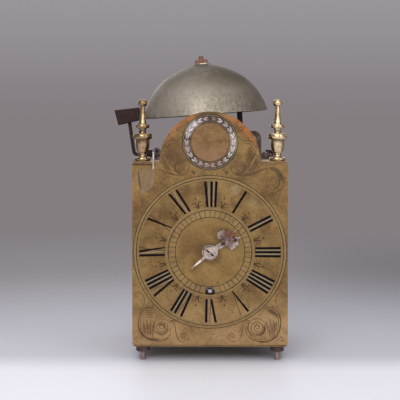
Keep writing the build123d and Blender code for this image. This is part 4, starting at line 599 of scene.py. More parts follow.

# One row for each finish: its name, and its clean, tarnished and stained colour, written in 0 to
# 255 or named in the panel. Then the patch size in millimetres, the share of tarnish and of
# stain, how metallic it is, its roughness clean and dull, its relief, and how dark its hollows
# get with dirt and painted shade. Last, what only some finishes have.
FINISH_ROWS = (
    ("old_dial_brass", "dial", "dial_tarnish", (150, 104, 62),
     (20, 0.5, 0.32, 0.66, 0.44, 0.6, 0.2, 0.25),
     {"marks": (30.0, 30.0, 900.0), "mark_depth": 0.3, "changes": dial_stains_and_shadows}),
    ("roundel_brass", (136, 106, 69), (118, 90, 56), (104, 75, 50),
     (9, 0.5, 0.3, 0.68, 0.42, 0.6, 0.3, 0.4),
     {"marks": (200.0, 30.0, 2200.0), "mark_depth": 1.2, "changes": roundel_marks}),
    ("case_brass", "case", "case_tarnish", (112, 82, 54),
     (45, 0.42, 0.22, 0.8, 0.38, 0.56, 0.14, 0.8),
     {"wear": 0.6, "wear_colour": (186, 156, 108), "marks": (30.0, 30.0, 1400.0),
      "mark_depth": 0.5, "changes": case_stains}),
    ("polished_brass", "polished", (134, 110, 78), (74, 56, 44),
     (10, 0.4, 0.28, 1.0, 0.13, 0.32, 0.05, 1.0), {"wear_colour": (222, 208, 180), **TURNED}),
    ("dulled_brass", (178, 152, 114), (112, 90, 64), (66, 50, 40),
     (10, 0.42, 0.28, 1.0, 0.15, 0.34, 0.05, 1.0), {"wear_colour": (204, 188, 158), **TURNED}),
    # the foot collars: soot, and painted shade from the bottom plate above them
    ("sooty_shaded_brass", (98, 80, 77), (70, 56, 56), (36, 27, 28),
     (6, 0.5, 0.3, 0.6, 0.4, 0.65, 0.3, 0.5), {"wear": 0.5, "wear_colour": (130, 108, 98)}),
    ("movement_brass", "movement", (160, 124, 68), (130, 92, 54),
     (30, 0.4, 0.18, 0.95, 0.24, 0.38, 0.08, 0.5),
     {"marks": (40.0, 40.0, 1500.0), "mark_depth": 0.4}),
    ("worn_silvering", "silver", (136, 120, 110), (70, 52, 42),
     (3, 0.46, 0.32, 0.9, 0.24, 0.45, 0.14, 1.0), {"dirt_and_shade_reach": 0.002, "changes": silver_wear_and_highlights}),
    ("husk_ground", (86, 70, 57), (60, 46, 37), (44, 34, 28),
     (5, 0.5, 0.3, 0.5, 0.5, 0.7, 0.1, 0.8), {"changes": silver_wear_and_highlights}),
    ("hand_steel", "steel", (156, 136, 130), (72, 54, 52),
     (2.2, 0.5, 0.36, 0.8, 0.26, 0.5, 0.4, 1.0), {"dirt_and_shade_reach": 0.002, "changes": hand_rust_and_shade}),
    ("pin_steel", "steel", (140, 126, 126), (72, 54, 54),
     (2, 0.5, 0.3, 0.8, 0.3, 0.5, 0.2, 0.6), {"changes": pin_darkening}),
    ("arbor_steel", (168, 166, 170), (122, 118, 120), (96, 78, 70),
     (10, 0.36, 0.2, 1.0, 0.2, 0.4, 0.1, 0.4), {"marks": (20.0, 2600.0, 20.0), "mark_depth": 0.5}),
    ("blued_steel", (58, 66, 92), (70, 62, 74), (92, 66, 52),
     (10, 0.5, 0.3, 1.0, 0.25, 0.45, 0.1, 0.4), {}),
    ("forged_iron", "iron", (52, 37, 34), (100, 50, 40),
     (9, 0.5, 0.36, 0.3, 0.55, 0.8, 0.6, 0.5),
     {"wear": 0.4, "wear_colour": (88, 70, 64), "specular": 0.35}),
    ("rusted_iron", "rust", (150, 118, 104), (78, 46, 34),
     (4, 0.5, 0.36, 0.35, 0.55, 0.85, 0.6, 0.6), {}),
    ("bell_metal", "bell", (126, 118, 102), "bell_dark",
     (20, 0.46, 0.26, 0.6, 0.42, 0.6, 0.2, 0.3),
     {"wear": 0.5, "wear_colour": (200, 190, 168), "marks": (60.0, 60.0, 1500.0),
      "mark_depth": 0.3, "changes": bell_stains_and_painted_light}),
    ("black_wax", "wax", (24, 17, 17), (62, 50, 38),
     (3, 0.4, 0.12, 0.0, 0.7, 0.8, 0.2, 0.0), {"specular": 0.08}),
    ("graver_line", (56, 38, 22), (44, 30, 20), (110, 82, 48),
     (6, 0.5, 0.26, 0.0, 0.6, 0.75, 0.1, 0.0), {"specular": 0.15}),
    ("scroll_line", (96, 68, 42), (74, 51, 32), (126, 96, 60),
     (5, 0.5, 0.3, 0.0, 0.6, 0.75, 0.1, 0.0), {"specular": 0.2}),
    ("graver_shade", (104, 80, 48), (84, 64, 40), (124, 98, 60),
     (3, 0.5, 0.34, 0.4, 0.5, 0.7, 0.1, 0.0), {}),
    ("bright_cut_and_highlight", (146, 137, 114), (128, 117, 92), (106, 90, 64),
     (4, 0.5, 0.32, 0.5, 0.5, 0.65, 0.1, 0.0), {}),
    ("burnished", (146, 121, 80), (130, 106, 68), (108, 84, 52),
     (4, 0.5, 0.34, 0.6, 0.44, 0.6, 0.1, 0.0), {}),
    ("pale_brass", (226, 214, 188), (190, 172, 138), (130, 108, 80),
     (5, 0.4, 0.3, 0.8, 0.3, 0.5, 0.1, 0.4), {}),
    ("worn_iron", (160, 148, 150), (84, 70, 72), (40, 30, 32),
     (4, 0.5, 0.34, 0.85, 0.26, 0.6, 0.4, 0.8), {}),
    ("brown_iron", (70, 52, 45), (44, 33, 30), (128, 86, 62),
     (8, 0.5, 0.32, 0.3, 0.5, 0.8, 0.6, 0.5),
     {"wear": 0.4, "wear_colour": (120, 100, 90), "changes": stand_stains}),
    ("bare_steel_end", (204, 198, 202), (166, 160, 166), (140, 130, 134),
     (4, 0.4, 0.3, 0.55, 0.3, 0.5, 0.1, 0.6), {}),
)

# Which of the clock's solids get which finish.
FINISHED_SOLIDS = {
    "old_dial_brass": ("dial_plate",),
    "roundel_brass": ("arch_boss",),
    "case_brass": (
        "bottom_plate", "top_plate", "post_front_left", "post_front_right", "post_rear_left",
        "post_rear_right", "left_door", "right_door", "back_plate",
    ),
    "polished_brass": ("finial_right", "left_door_knob", "right_door_knob", "pendulum_bob"),
    "dulled_brass": ("finial_left",),
    "sooty_shaded_brass": ("foot_collars",),
    "husk_ground": ("husk_ring",),
    "movement_brass": (
        "dial_feet", "movement_front_plate", "movement_rear_plate", "movement_pillars", "barrel",
        "barrel_cap", "centre_wheel", "third_wheel", "escape_wheel", "back_cock", "minute_wheel",
        "hour_wheel",
    ),
    "hand_steel": ("hour_hand", "minute_hand", "hand_collet", "dial_wire"),
    "arbor_steel": (
        "winding_arbor", "ratchet_wheel", "click", "click_stud", "centre_arbor", "third_arbor",
        "escape_arbor", "anchor", "pallet_arbor", "pendulum_rod", "cannon_pinion", "minute_stud",
    ),
    "blued_steel": ("mainspring", "click_spring", "hammer_spring"),
    "forged_iron": ("rear_nuts", "movement_brackets", "hammer_arm", "hammer_head"),
    "worn_iron": ("hammer_cocks", "plate_screws"),
    "brown_iron": ("bell_stand",),
    "pin_steel": ("hand_pin",),
    "rusted_iron": ("bell_nut",),
    "pale_brass": ("bell_washer",),
    "bell_metal": ("bell",),
}


# ---- flat engraved work -------------------------------------------------------------
def around(centre, radius, degrees):
    """A point at a radius from a centre, turned clockwise from straight up."""
    a = math.radians(degrees)
    return (centre[0] + radius * math.sin(a), centre[1] + radius * math.cos(a))


def on_dial(out, degrees, across=0.0):
    """A point of the dial in millimetres: out from the hands' centre, clockwise from XII, and
    across that line to its right."""
    a = math.radians(degrees)
    x, z = around((0.0, HUB), out, degrees)
    return (x + across * math.cos(a), z - across * math.sin(a))


def midway(first, second):
    return ((first[0] + second[0]) / 2, (first[1] + second[1]) / 2)


def bent(start, bend, end, t):
    """A point of the curve that leaves start towards bend and comes to end from it."""
    return tuple(
        (1 - t) ** 2 * start[i] + 2 * t * (1 - t) * bend[i] + t * t * end[i] for i in (0, 1)
    )


class Engraving:
    """Flat strips that lie just in front of a face, gathered into one piece.  Points are x
    and height in millimetres; y is the face's depth in metres."""

    def __init__(self, y, lift=CUT_LIFT):
        self.y = y - lift * MM
        self.points = []
        self.faces = []

    def face(self, corners):
        first = len(self.points)
        self.points += [(x * MM, self.y, z * MM) for x, z in corners]
        self.faces.append(tuple(range(first, first + len(corners))))

    def strip(self, line, width, swell=0.0):
        """A strip along a line of points.  With swell it thins towards its ends, as a
        graver's cut does."""
        last = len(line) - 1
        first = len(self.points)
        for i, (x, z) in enumerate(line):
            before, after = line[max(i - 1, 0)], line[min(i + 1, last)]
            dx, dz = after[0] - before[0], after[1] - before[1]
            size = math.hypot(dx, dz) or 1.0
            part = min(max(i / last, 0.02), 0.98)
            half = width / 2 * (1 - swell + swell * math.sin(math.pi * part))
            for side in (-1, 1):
                self.points.append((
                    (x + side * dz / size * half) * MM, self.y, (z - side * dx / size * half) * MM,
                ))
        for a in range(first, first + 2 * last, 2):
            self.faces.append((a, a + 1, a + 3, a + 2))

    def arc(self, centre, radius, start, sweep, width, swell=0.0, steps=None):
        steps = steps or max(6, int(abs(sweep) / 4))
        line = [around(centre, radius, start + sweep * i / steps) for i in range(steps + 1)]
        self.strip(line, width, swell)

    def circle(self, centre, radius, width, steps=144):
        self.arc(centre, radius, 0, 360, width, steps=steps)

    def volute(self, centre, outer, inner, start, turns, width, hand=1):
        """A spiral from outer to inner radius, clockwise for hand 1, ending in a dot."""
        steps = int(abs(turns) * 40)
        line = []
        for i in range(steps + 1):
            t = i / steps
            radius = outer + (inner - outer) * t**0.85
            line.append(around(centre, radius, start + hand * 360 * turns * t))
        self.strip(line, width, 0.35)
        self.dot(line[-1], width * 0.9)

    def curve(self, start, bend, end, width, steps=14):
        self.strip([bent(start, bend, end, i / steps) for i in range(steps + 1)], width, 0.8)

    def flow(self, stops, width, swell=0.5, steps=7):
        """A smooth cut through the given points."""
        ends = [stops[0], *stops, stops[-1]]
        line = []
        for i in range(1, len(ends) - 2):
            a, b, c, d = ends[i - 1:i + 3]
            for k in range(steps):
                t = k / steps
                line.append(tuple(
                    0.5 * (2 * b[n] + (c[n] - a[n]) * t
                           + (2 * a[n] - 5 * b[n] + 4 * c[n] - d[n]) * t * t
                           + (3 * b[n] - a[n] - 3 * c[n] + d[n]) * t**3)
                    for n in (0, 1)
                ))
        line.append(stops[-1])
        self.strip(line, width, swell)

    def dot(self, centre, radius, sides=12):
        self.face([around(centre, radius, k * 360 / sides) for k in range(sides)])

    def leaf(self, root, tip, spread, width, bow=0.0, veins=4):
        """An acanthus lobe: two bowed edges from root to tip and veins between them."""
        dx, dz = tip[0] - root[0], tip[1] - root[1]
        size = math.hypot(dx, dz)
        along, across = (dx / size, dz / size), (-dz / size, dx / size)

        def beside(point, sideways, onward=0.0):
            return tuple(point[i] + across[i] * sideways + along[i] * onward for i in (0, 1))

        middle = beside(midway(root, tip), bow)
        for side in (-1, 1):
            self.curve(root, beside(middle, side * spread), tip, width)
        self.curve(root, middle, tip, width * 0.7)
        for k in range(veins):
            t = (k + 0.8) / (veins + 0.6)
            base = bent(root, middle, tip, t)
            reach = spread * 0.9 * t * (1 - t) * 2
            for side in (-1, 1):
                end = beside(base, side * reach, spread * 0.25)
                self.curve(base, midway(base, end), end, width * 0.6, steps=4)

    def hatch(self, centre, inner, outer, start, sweep, width, spacing=8, lean=14):
        """Close short cuts across a band, which read as shade."""
        count = max(3, int(abs(sweep) / spacing))
        for k in range(count + 1):
            turn = start + sweep * k / count
            self.strip([around(centre, inner, turn), around(centre, outer, turn + lean)], width)

    def finish(self, name, finish, slot, body="frame"):
        return piece(name, self.points, self.faces, finish, body)


def piece(name, points, faces, finish, body, smooth=False):
    """A mesh piece that rides on a body."""
    mesh = bpy.data.meshes.new(name)
    mesh.from_pydata(points, [], faces)
    mesh.validate()
    made = bpy.data.objects.new(name, mesh)
    bpy.context.scene.collection.objects.link(made)
    made.data.materials.append(FINISHES[finish])
    if smooth:
        mesh.shade_smooth()
    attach(made, body)
    return made


# ---- operators ----------------------------------------------------------------------
class CLOCK_OT_finishes(bpy.types.Operator):
    """Make the finishes and lay them on the clock's solids"""

    bl_idname = "clock.finishes"
    bl_label = "Patinate the metals"

    def execute(self, context):
        chosen = context.scene.clock_finish

        def tone(given):
            return (*getattr(chosen, given), 1.0) if isinstance(given, str) else srgb(*given)

        for name, clean, tarnish, stain, (patch, *looks), more in FINISH_ROWS:
            metal(name, tone(clean), tone(tarnish), tone(stain), patch * MM, *looks, **more)
        for finish, nodes in FINISHED_SOLIDS.items():
            for node in nodes:
                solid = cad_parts[node]
                solid.data.materials.clear()
                solid.data.materials.append(FINISHES[finish])
        return {"FINISHED"}


class CLOCK_OT_chapter(bpy.types.Operator):
    """Engrave the dial's circles, the divided quarter ring and the half-hour sprigs"""

    bl_idname = "clock.chapter"
    bl_label = "Engrave the circles"

    def execute(self, context):
        s = context.scene.clock_dial
        hub, thin = (0.0, HUB), s.hairline / MM
        work = Engraving(DIAL_FACE)
        for radius, width in (
            (s.outer_circle, 1.3), (s.second_circle, 1.45), (s.quarter_outer, 1.4),
            (s.quarter_inner, 1.35),
        ):
            work.circle(hub, radius / MM, thin * width)
        inner, outer = s.quarter_inner / MM, s.quarter_outer / MM
        for k in range(s.divisions):
            turn = k * 360 / s.divisions
            if abs(turn - 180) >= 8:  # the winding hole breaks the ring at VI
                work.strip([on_dial(inner, turn), on_dial(outer, turn)], thin * 1.15)
        for k in range(12):
            self.sprig(work, 15 + 30 * k, thin)
        work.finish("engraved_circles", "graver_line", "brass_dial")
        bright = Engraving(DIAL_FACE, BURNISH_LIFT)
        bright.circle(hub, (s.outer_circle + s.second_circle) / 2 / MM, 2.2)
        bright.finish("bright_circle", "burnished", "brass_dial")
        return {"FINISHED"}

    def sprig(self, work, turn, thin):
        """A fleur: a stem, two curling leaves, two short ones and a dot above."""
        for side in (-1, 1):
            for width, *stops in (
                (1.35, (0.5, 44.8), (1.1, 48.0), (2.2, 50.4), (4.0, 51.4), (4.6, 49.8)),
                (1.25, (0.0, 45.2), (0.6, 48.4), (1.4, 51.6), (0.8, 53.0)),
                (1.1, (1.0, 46.0), (3.0, 47.6), (5.2, 47.0)),
            ):
                work.flow([on_dial(out, turn, side * x) for x, out in stops], thin * width)
        work.dot(on_dial(55.4, turn), 0.85)


class CLOCK_OT_numerals(bpy.types.Operator):
    """Fill the twelve hour numerals with black wax"""

    bl_idname = "clock.numerals"
    bl_label = "Fill the numerals"

    # Strokes of each numeral from XII on: how far right of the middle its top and its foot
    # stand, in millimetres, and whether it is thick.
    strokes = (
        ((-4.8, -2.5, 1), (-1.6, -4.9, 0), (1.7, 1.4, 1), (6.4, 5.2, 1)),
        ((0.9, 0.0, 1),),
        ((-1.0, -2.5, 1), (3.1, 1.9, 1)),
        ((-4.1, -3.9, 1), (0.0, 0.0, 1), (4.1, 3.9, 1)),
        ((-6.6, -5.3, 1), (-2.2, -1.8, 1), (2.2, 1.8, 1), (6.6, 5.3, 1)),
        ((-3.5, 0.3, 1), (5.0, 0.3, 0)),
        ((-5.9, -1.2, 1), (0.4, -0.9, 0), (3.9, 3.4, 1)),
        ((-7.2, -4.6, 1), (-2.6, -4.2, 0), (0.0, 0.0, 1), (4.4, 3.5, 1)),
        ((-10.2, -5.8, 1), (-4.6, -5.6, 0), (-1.4, -2.2, 1), (3.0, 1.8, 1), (7.2, 5.3, 1)),
        ((-3.4, -2.8, 1), (0.6, 4.6, 1), (4.8, 0.8, 0)),
        ((-2.0, 2.0, 1), (2.2, -1.8, 0)),
        ((-6.2, -1.9, 1), (-2.4, -5.0, 0), (2.0, 3.1, 1)),
    )
    six_foot = 47.4  # VI stands clear of the winding hole

    def execute(self, context):
        s = context.scene.clock_dial
        low, top, bar = s.numeral_foot / MM, s.numeral_top / MM, s.bar / MM
        wax = Engraving(DIAL_FACE, WAX_LIFT)
        bright = Engraving(DIAL_FACE, HIGHLIGHT_LIFT)
        thin = Engraving(DIAL_FACE, HAIRLINE_LIFT)
        ring = Engraving(DIAL_FACE, SHADE_LIFT)
        for hour, numeral in enumerate(self.strokes):
            turn = 30 * hour
            foot = self.six_foot if hour == 6 else low
            for start, end, thick in numeral:
                if not thick:
                    thin.strip([on_dial(top, turn, start), on_dial(foot, turn, end)], 0.55)
                    continue
                # a stroke that leans onto a hairline is cut narrower at its foot
                leaning = start < end - 1.5 and end > -1 and hour != 11
                half = bar * (0.24 if leaning else 0.44)
                wax.face([
                    on_dial(top, turn, start - bar / 2), on_dial(top - 0.25, turn, start + bar / 2),
                    on_dial(foot - 0.2, turn, end + half), on_dial(foot, turn, end - half),
                ])
            # painted highlight: pale strips between neighbouring thick strokes, for the light on
            # the cut edges
            solid = [stroke for stroke in numeral if stroke[2]]
            for first, second in zip(solid, solid[1:]):
                gap = min(second[0] - first[0], abs(second[1] - first[1])) - bar
                if gap > 0:
                    upper, lower = midway(first, second)
                    bright.strip([
                        on_dial(top - 0.4, turn, upper), on_dial(foot + 0.4, turn, lower),
                    ], min(gap + 0.4, 1.25), 0.1)
        for radius, width in ((low - 1.6, 1.5), (top + 1.4, 0.9)):
            ring.circle((0.0, HUB), radius, width)
        wax.finish("numerals_wax", "black_wax", "brass_dial")
        bright.finish("numerals_highlight_edge", "bright_cut_and_highlight", "brass_dial")
        thin.finish("numerals_hairlines", "graver_line", "brass_dial")
        ring.finish("burnished_bands", "burnished", "brass_dial")
        return {"FINISHED"}


def leaves(spread, width, *rows):
    """Acanthus leaves of one width: each row is a root, a tip and the leaf's bow."""
    return [(root, tip, spread, width, bow) for root, tip, bow in rows]


# The drawings of the scrolls, in millimetres on the dial, with line widths in hairlines.
#   cuts: width, how far it thins towards its ends, and the points it goes through
#   shades: the same, with the width in millimetres
#   fans: how many cuts, their width, and for each point x and z and its step to the next cut
#   volutes: centre, outer and inner radius, start, turns, width, and 1 for clockwise
#   arcs: centre, radius, start, sweep, width, and how far it thins
#   hatches: centre, inner and outer radius, start, sweep, width and spacing in degrees
#   leaves: root, tip, spread, width and bow
LOWER_RIGHT_EYE, LOWER_LEFT_EYE = (47.9, 34.3), (-48.8, 34.4)
UPPER_RIGHT_EYE, ARCH_EYE = (61.8, 180.4), (29.6, 195.6)
LOWER_RIGHT = {
    "cuts": (
        (2.3, 0.75, (36.5, 40.7), (36.3, 30.5), (40.9, 23.6), (49.2, 20.7), (58.8, 21.0),
         (66.4, 25.4), (70.3, 33.7), (70.9, 42.6), (68.3, 50.3), (62.0, 54.8), (55.6, 52.9)),
        (1.2, 0.5, (64.0, 24.9), (68.1, 31.2), (68.8, 41.0), (66.6, 47.6)),
        (1.1, 0.5, (42.6, 24.6), (49.6, 22.4), (57.6, 22.8), (63.4, 26.4)),
        (1.1, 0.5, (38.4, 38.6), (38.4, 31.4), (41.8, 26.0)),
        (1.6, 0.7, (34.2, 41.4), (33.4, 36.9), (32.3, 30.0), (31.0, 25.0), (28.6, 21.6)),
        (1.3, 0.5, (34.0, 41.6), (37.6, 42.0), (40.6, 41.2)),
        (1.1, 0.5, (18.4, 24.6), (19.0, 21.4), (23.4, 20.2), (28.6, 21.6)),
        (1.3, 0.5, (65.8, 23.5), (70.3, 26.1), (74.1, 22.4), (72.8, 20.6), (68.3, 22.9)),
        (1.0, 0.5, (67.0, 21.2), (70.0, 23.6), (73.0, 24.8)),
    ),
    "shades": (
        (1.564, 0.9, (43.5, 22.7), (51.0, 19.9), (60.0, 21.4), (66.0, 26.4)),
        (3.0, 0.8, (58.0, 52.6), (63.0, 50.8), (67.0, 46.6)),
    ),
    "fans": (
        (7, 0.9, (52.0, 23.0, 2.4, 0.3), (52.9, 25.6, 2.4, 0.6), (52.3, 28.6, 2.4, 0.9)),
        (6, 1.25, (57.4, 51.0, 2.0, -0.5), (60.4, 50.0, 1.8, -0.7), (62.8, 46.6, 1.3, -0.6)),
    ),
    "volutes": (
        (LOWER_RIGHT_EYE, 10.6, 1.1, 250, 2.9, 1.35, 1),
        ((21.1, 26.7), 4.4, 0.7, -110, 1.35, 1.3, -1),
    ),
    "arcs": ((LOWER_RIGHT_EYE, 6.9, 60, 110, 2.4, 0.9),),
    "hatches": (
        (LOWER_RIGHT_EYE, 5.6, 8.2, 70, 110, 0.8, 8), (LOWER_RIGHT_EYE, 8.6, 10.4, 190, 90, 0.7, 9),
    ),
    "leaves": leaves(
        1.7, 1.1, ((60.6, 24.6), (56.0, 40.8), -1.2), ((62.4, 25.8), (60.0, 43.2), -0.7),
        ((64.0, 27.6), (63.6, 42.6), -0.2), ((65.4, 29.8), (66.8, 41.4), 0.3),
    ),
    "dots": (((72.4, 21.4), 0.6),),
}
LOWER_LEFT = {
    "cuts": (
        (2.1, 0.6, (-54.4, 51.6), (-58.0, 54.6), (-65.0, 54.2), (-69.6, 48.0), (-71.9, 40.0),
         (-71.0, 31.6), (-67.3, 26.0), (-60.0, 21.8), (-52.0, 20.4), (-44.6, 22.4), (-40.4, 27.4),
         (-39.6, 34.4)),
        (2.2, 0.5, (-70.4, 34.0), (-68.6, 28.6), (-64.6, 25.2)),
        (1.2, 0.5, (-69.4, 44.0), (-69.9, 37.0), (-67.8, 31.0)),
        (1.7, 0.6, (-39.6, 40.8), (-37.2, 40.6), (-35.0, 35.6), (-34.2, 29.9), (-32.6, 23.5),
         (-29.4, 20.4), (-24.4, 20.6)),
        (1.2, 0.5, (-40.8, 39.0), (-38.8, 41.6), (-34.6, 41.0)),
        (1.1, 0.5, (-68.0, 21.6), (-72.4, 24.6), (-76.0, 22.2), (-73.0, 19.6)),
    ),
    "shades": ((2.6, 0.8, (-65.0, 24.4), (-58.0, 22.2), (-50.0, 22.4)),),
    "fans": (
        (8, 0.95, (-66.0, 26.4, 3.0, -0.3), (-64.8, 24.2, 3.0, -0.2), (-63.0, 22.8, 3.0, -0.1)),
        (5, 1.2, (-66.2, 53.8, 0.7, -2.4), (-61.0, 54.6, 0.6, -2.5), (-55.4, 52.0, -0.6, -2.3)),
    ),
    "volutes": (
        (LOWER_LEFT_EYE, 9.4, 1.0, 60, 2.8, 1.3, -1), ((-25.8, 26.1), 4.7, 0.8, 100, 1.3, 1.35, 1),
    ),
    "hatches": (
        (LOWER_LEFT_EYE, 5.0, 8.4, 100, 120, 0.8, 8), (LOWER_LEFT_EYE, 2.4, 4.6, -40, 130, 0.7, 8),
    ),
    "leaves": leaves(
        1.6, 1.05, ((-57.4, 24.0), (-55.8, 41.6), 1.0), ((-59.8, 25.0), (-59.4, 43.0), 0.6),
        ((-62.2, 26.2), (-63.0, 42.4), 0.2), ((-64.8, 27.8), (-67.0, 40.4), -0.2),
    ),
}
# A stem that rises from each lower corner's scroll and curls over.
TENDRIL = {
    "cuts": ((1.25, 0.5, (70.6, 48.6), (69.6, 52.8), (66.4, 57.3), (65.8, 63.7), (68.6, 68.6),
              (72.8, 70.1), (75.6, 67.4), (73.6, 65.0), (71.4, 66.8), (72.6, 68.2)),),
}
UPPER_RIGHT = {
    "cuts": (
        (2.0, 0.7, (24.4, 189.9), (29.8, 187.2), (36.5, 186.9), (43.2, 189.2), (51.9, 192.9),
         (60.6, 195.0), (68.7, 194.6)),
        (1.3, 0.5, (54.0, 173.0), (56.6, 169.2), (62.0, 167.4), (68.0, 168.6)),
        (1.1, 0.5, (55.4, 175.4), (58.6, 171.4), (63.6, 170.0), (69.6, 172.0)),
        (1.25, 0.5, (70.4, 170.4), (68.7, 164.3), (66.7, 158.2), (68.4, 152.4), (72.7, 149.6),
         (76.0, 152.9), (73.8, 156.8), (70.4, 155.2), (72.2, 152.8)),
    ),
    "shades": (
        (2.8, 0.8, (32.0, 188.4), (39.5, 188.2), (46.0, 190.2), (53.0, 193.0)),
        (4.4, 0.8, (60.0, 193.8), (66.4, 192.6), (70.2, 187.0), (71.6, 181.0)),
    ),
    "fans": (
        (5, 1.0, (46.0, 186.0, 2.6, 0.9), (48.6, 182.0, 2.2, 1.0), (54.0, 180.6, 0.8, 1.0)),
    ),
    "volutes": ((UPPER_RIGHT_EYE, 8.6, 1.0, 20, 2.3, 1.2, 1),),
    "arcs": (
        (UPPER_RIGHT_EYE, 11.6, -30, 170, 1.4, 0.8), (UPPER_RIGHT_EYE, 13.2, 10, 110, 1.2, 0.8),
    ),
    "hatches": (
        (UPPER_RIGHT_EYE, 6.0, 8.8, 30, 130, 0.8, 8), (UPPER_RIGHT_EYE, 9.4, 12.6, 20, 110, 0.8, 7),
    ),
    "dots": (((54.0, 173.4), 0.7),),
}
UPPER_LEFT = {
    "cuts": (
        (2.2, 0.7, (-51.2, 193.7), (-46.0, 191.0), (-40.5, 189.2), (-34.0, 187.4), (-27.6, 188.4)),
        (1.5, 0.5, (-49.2, 178.8), (-48.0, 183.4), (-41.8, 186.8)),
        (1.35, 0.5, (-46.6, 179.6), (-45.6, 183.0), (-39.2, 186.4)),
        (1.2, 0.5, (-51.0, 181.8), (-50.0, 186.0), (-43.4, 188.0)),
        (1.05, 0.5, (-51.4, 186.4), (-49.0, 189.0), (-44.6, 189.4)),
        (1.0, 0.5, (-63.6, 171.0), (-60.6, 173.6), (-59.6, 171.6), (-62.0, 170.2), (-63.6, 171.0)),
        (1.1, 0.5, (-70.6, 169.0), (-67.4, 162.4), (-68.2, 156.6), (-71.6, 152.0)),
        (1.1, 0.5, (-71.6, 152.0), (-75.4, 153.4), (-74.6, 157.0), (-71.8, 155.8)),
    ),
    "shades": ((2.4, 0.6, (-71.4, 192.0), (-71.0, 184.0), (-69.0, 172.6)),),
}
ARCH_SIDE = {
    "cuts": (
        (2.0, 0.7, (47.8, 207.6), (47.6, 200.6), (44.4, 194.0), (40.3, 190.2), (34.6, 187.8)),
        (1.4, 0.5, (46.0, 209.0), (45.6, 202.0), (42.2, 195.4), (38.6, 192.0)),
        (1.8, 0.6, (28.9, 226.4), (32.4, 221.6), (38.3, 222.2), (43.6, 219.4), (46.4, 213.4)),
        (1.4, 0.5, (33.6, 218.6), (38.0, 219.4), (42.0, 217.0), (44.0, 212.6)),
        (1.3, 0.5, (28.6, 231.6), (26.9, 228.0), (28.9, 225.4)),
        (1.1, 0.5, (34.6, 231.4), (40.2, 228.4), (44.2, 222.0)),
        (1.2, 0.5, (16.4, 187.6), (14.9, 190.8), (13.4, 192.0)),
        (1.2, 0.5, (16.4, 187.6), (16.4, 190.8), (16.4, 192.0)),
        (1.2, 0.5, (16.4, 187.6), (17.9, 190.8), (19.4, 192.0)),
    ),
    "shades": ((2.8, 0.8, (46.4, 204.0), (43.6, 196.6), (39.0, 191.4)),),
    "volutes": (
        (ARCH_EYE, 7.0, 0.9, 215, 1.9, 1.35, -1), ((31.6, 232.8), 3.4, 0.6, -160, 1.3, 1.4, 1),
        ((16.2, 190.6), 1.7, 0.4, 0, 1.0, 1.1, 1),
    ),
    "arcs": ((ARCH_EYE, 8.6, 150, 150, 1.9, 0.8),),
    "hatches": ((ARCH_EYE, 4.4, 6.8, 60, 130, 0.85, 8),),
}


def arch_fern(rib_width, leaf_width):
    """The ribs and leaves above the arch's scroll, cut deeper on the right than on the left."""
    return {
        "fans": (
            (7, rib_width,
             (37.4, 195.0, 1.1, 1.9), (38.4, 199.0, 1.2, 1.9), (36.6, 203.4, 0.9, 1.9)),
        ),
        "leaves": leaves(1.7, leaf_width, *(
            ((34.6 + 0.6 * k, 203.6 + 2.6 * k), (44.4 - 0.7 * k, 206.6 + 3.2 * k), -0.8)
            for k in range(4)
        )),
    }


class CLOCK_OT_scrolls(bpy.types.Operator):
    """Engrave the acanthus scrolls in the corners and round the roundel"""

    bl_idname = "clock.scrolls"
    bl_label = "Engrave the scrolls"

    def execute(self, context):
        thin = context.scene.clock_dial.hairline / MM
        work = Engraving(DIAL_FACE)
        shade = Engraving(DIAL_FACE, SHADE_LIFT)
        for drawing, side in (
            (LOWER_RIGHT, 1), (LOWER_LEFT, 1), (TENDRIL, 1), (TENDRIL, -1), (UPPER_RIGHT, 1),
            (UPPER_LEFT, 1), (ARCH_SIDE, 1), (ARCH_SIDE, -1), (arch_fern(1.5, 1.2), 1),
            (arch_fern(1.0, 0.9), -1),
        ):
            self.engrave(work, shade, drawing, side, thin)
        work.finish("engraved_scrolls", "scroll_line", "brass_dial")
        shade.finish("engraved_shading", "graver_shade", "brass_dial")
        return {"FINISHED"}

    def engrave(self, work, shade, drawing, side, thin):
        """One drawing; with side -1 it is turned over, left for right."""

        def turned(point):
            return (side * point[0], point[1])

        def rows(kind):
            return drawing.get(kind, ())

        for width, swell, *stops in rows("cuts"):
            work.flow([turned(stop) for stop in stops], thin * width, swell)
        for width, swell, *stops in rows("shades"):
            shade.flow([turned(stop) for stop in stops], width, swell)
        for count, width, *stops in rows("fans"):
            for k in range(count):
                line = [turned((x + dx * k, z + dz * k)) for x, z, dx, dz in stops]
                work.flow(line, thin * width)
        for centre, outer, inner, start, turns, width, hand in rows("volutes"):
            work.volute(
                turned(centre), outer, inner, side * start, turns, thin * width, side * hand
            )
        for centre, radius, start, sweep, width, swell in rows("arcs"):
            work.arc(turned(centre), radius, side * start, side * sweep, thin * width, swell)
        for centre, inner, outer, start, sweep, width, spacing in rows("hatches"):
            work.hatch(
                turned(centre), inner, outer, side * start, side * sweep, thin * width, spacing
            )
        for root, tip, spread, width, bow in rows("leaves"):
            work.leaf(turned(root), turned(tip), spread, thin * width, side * bow)
        for centre, radius in rows("dots"):
            work.dot(turned(centre), radius)


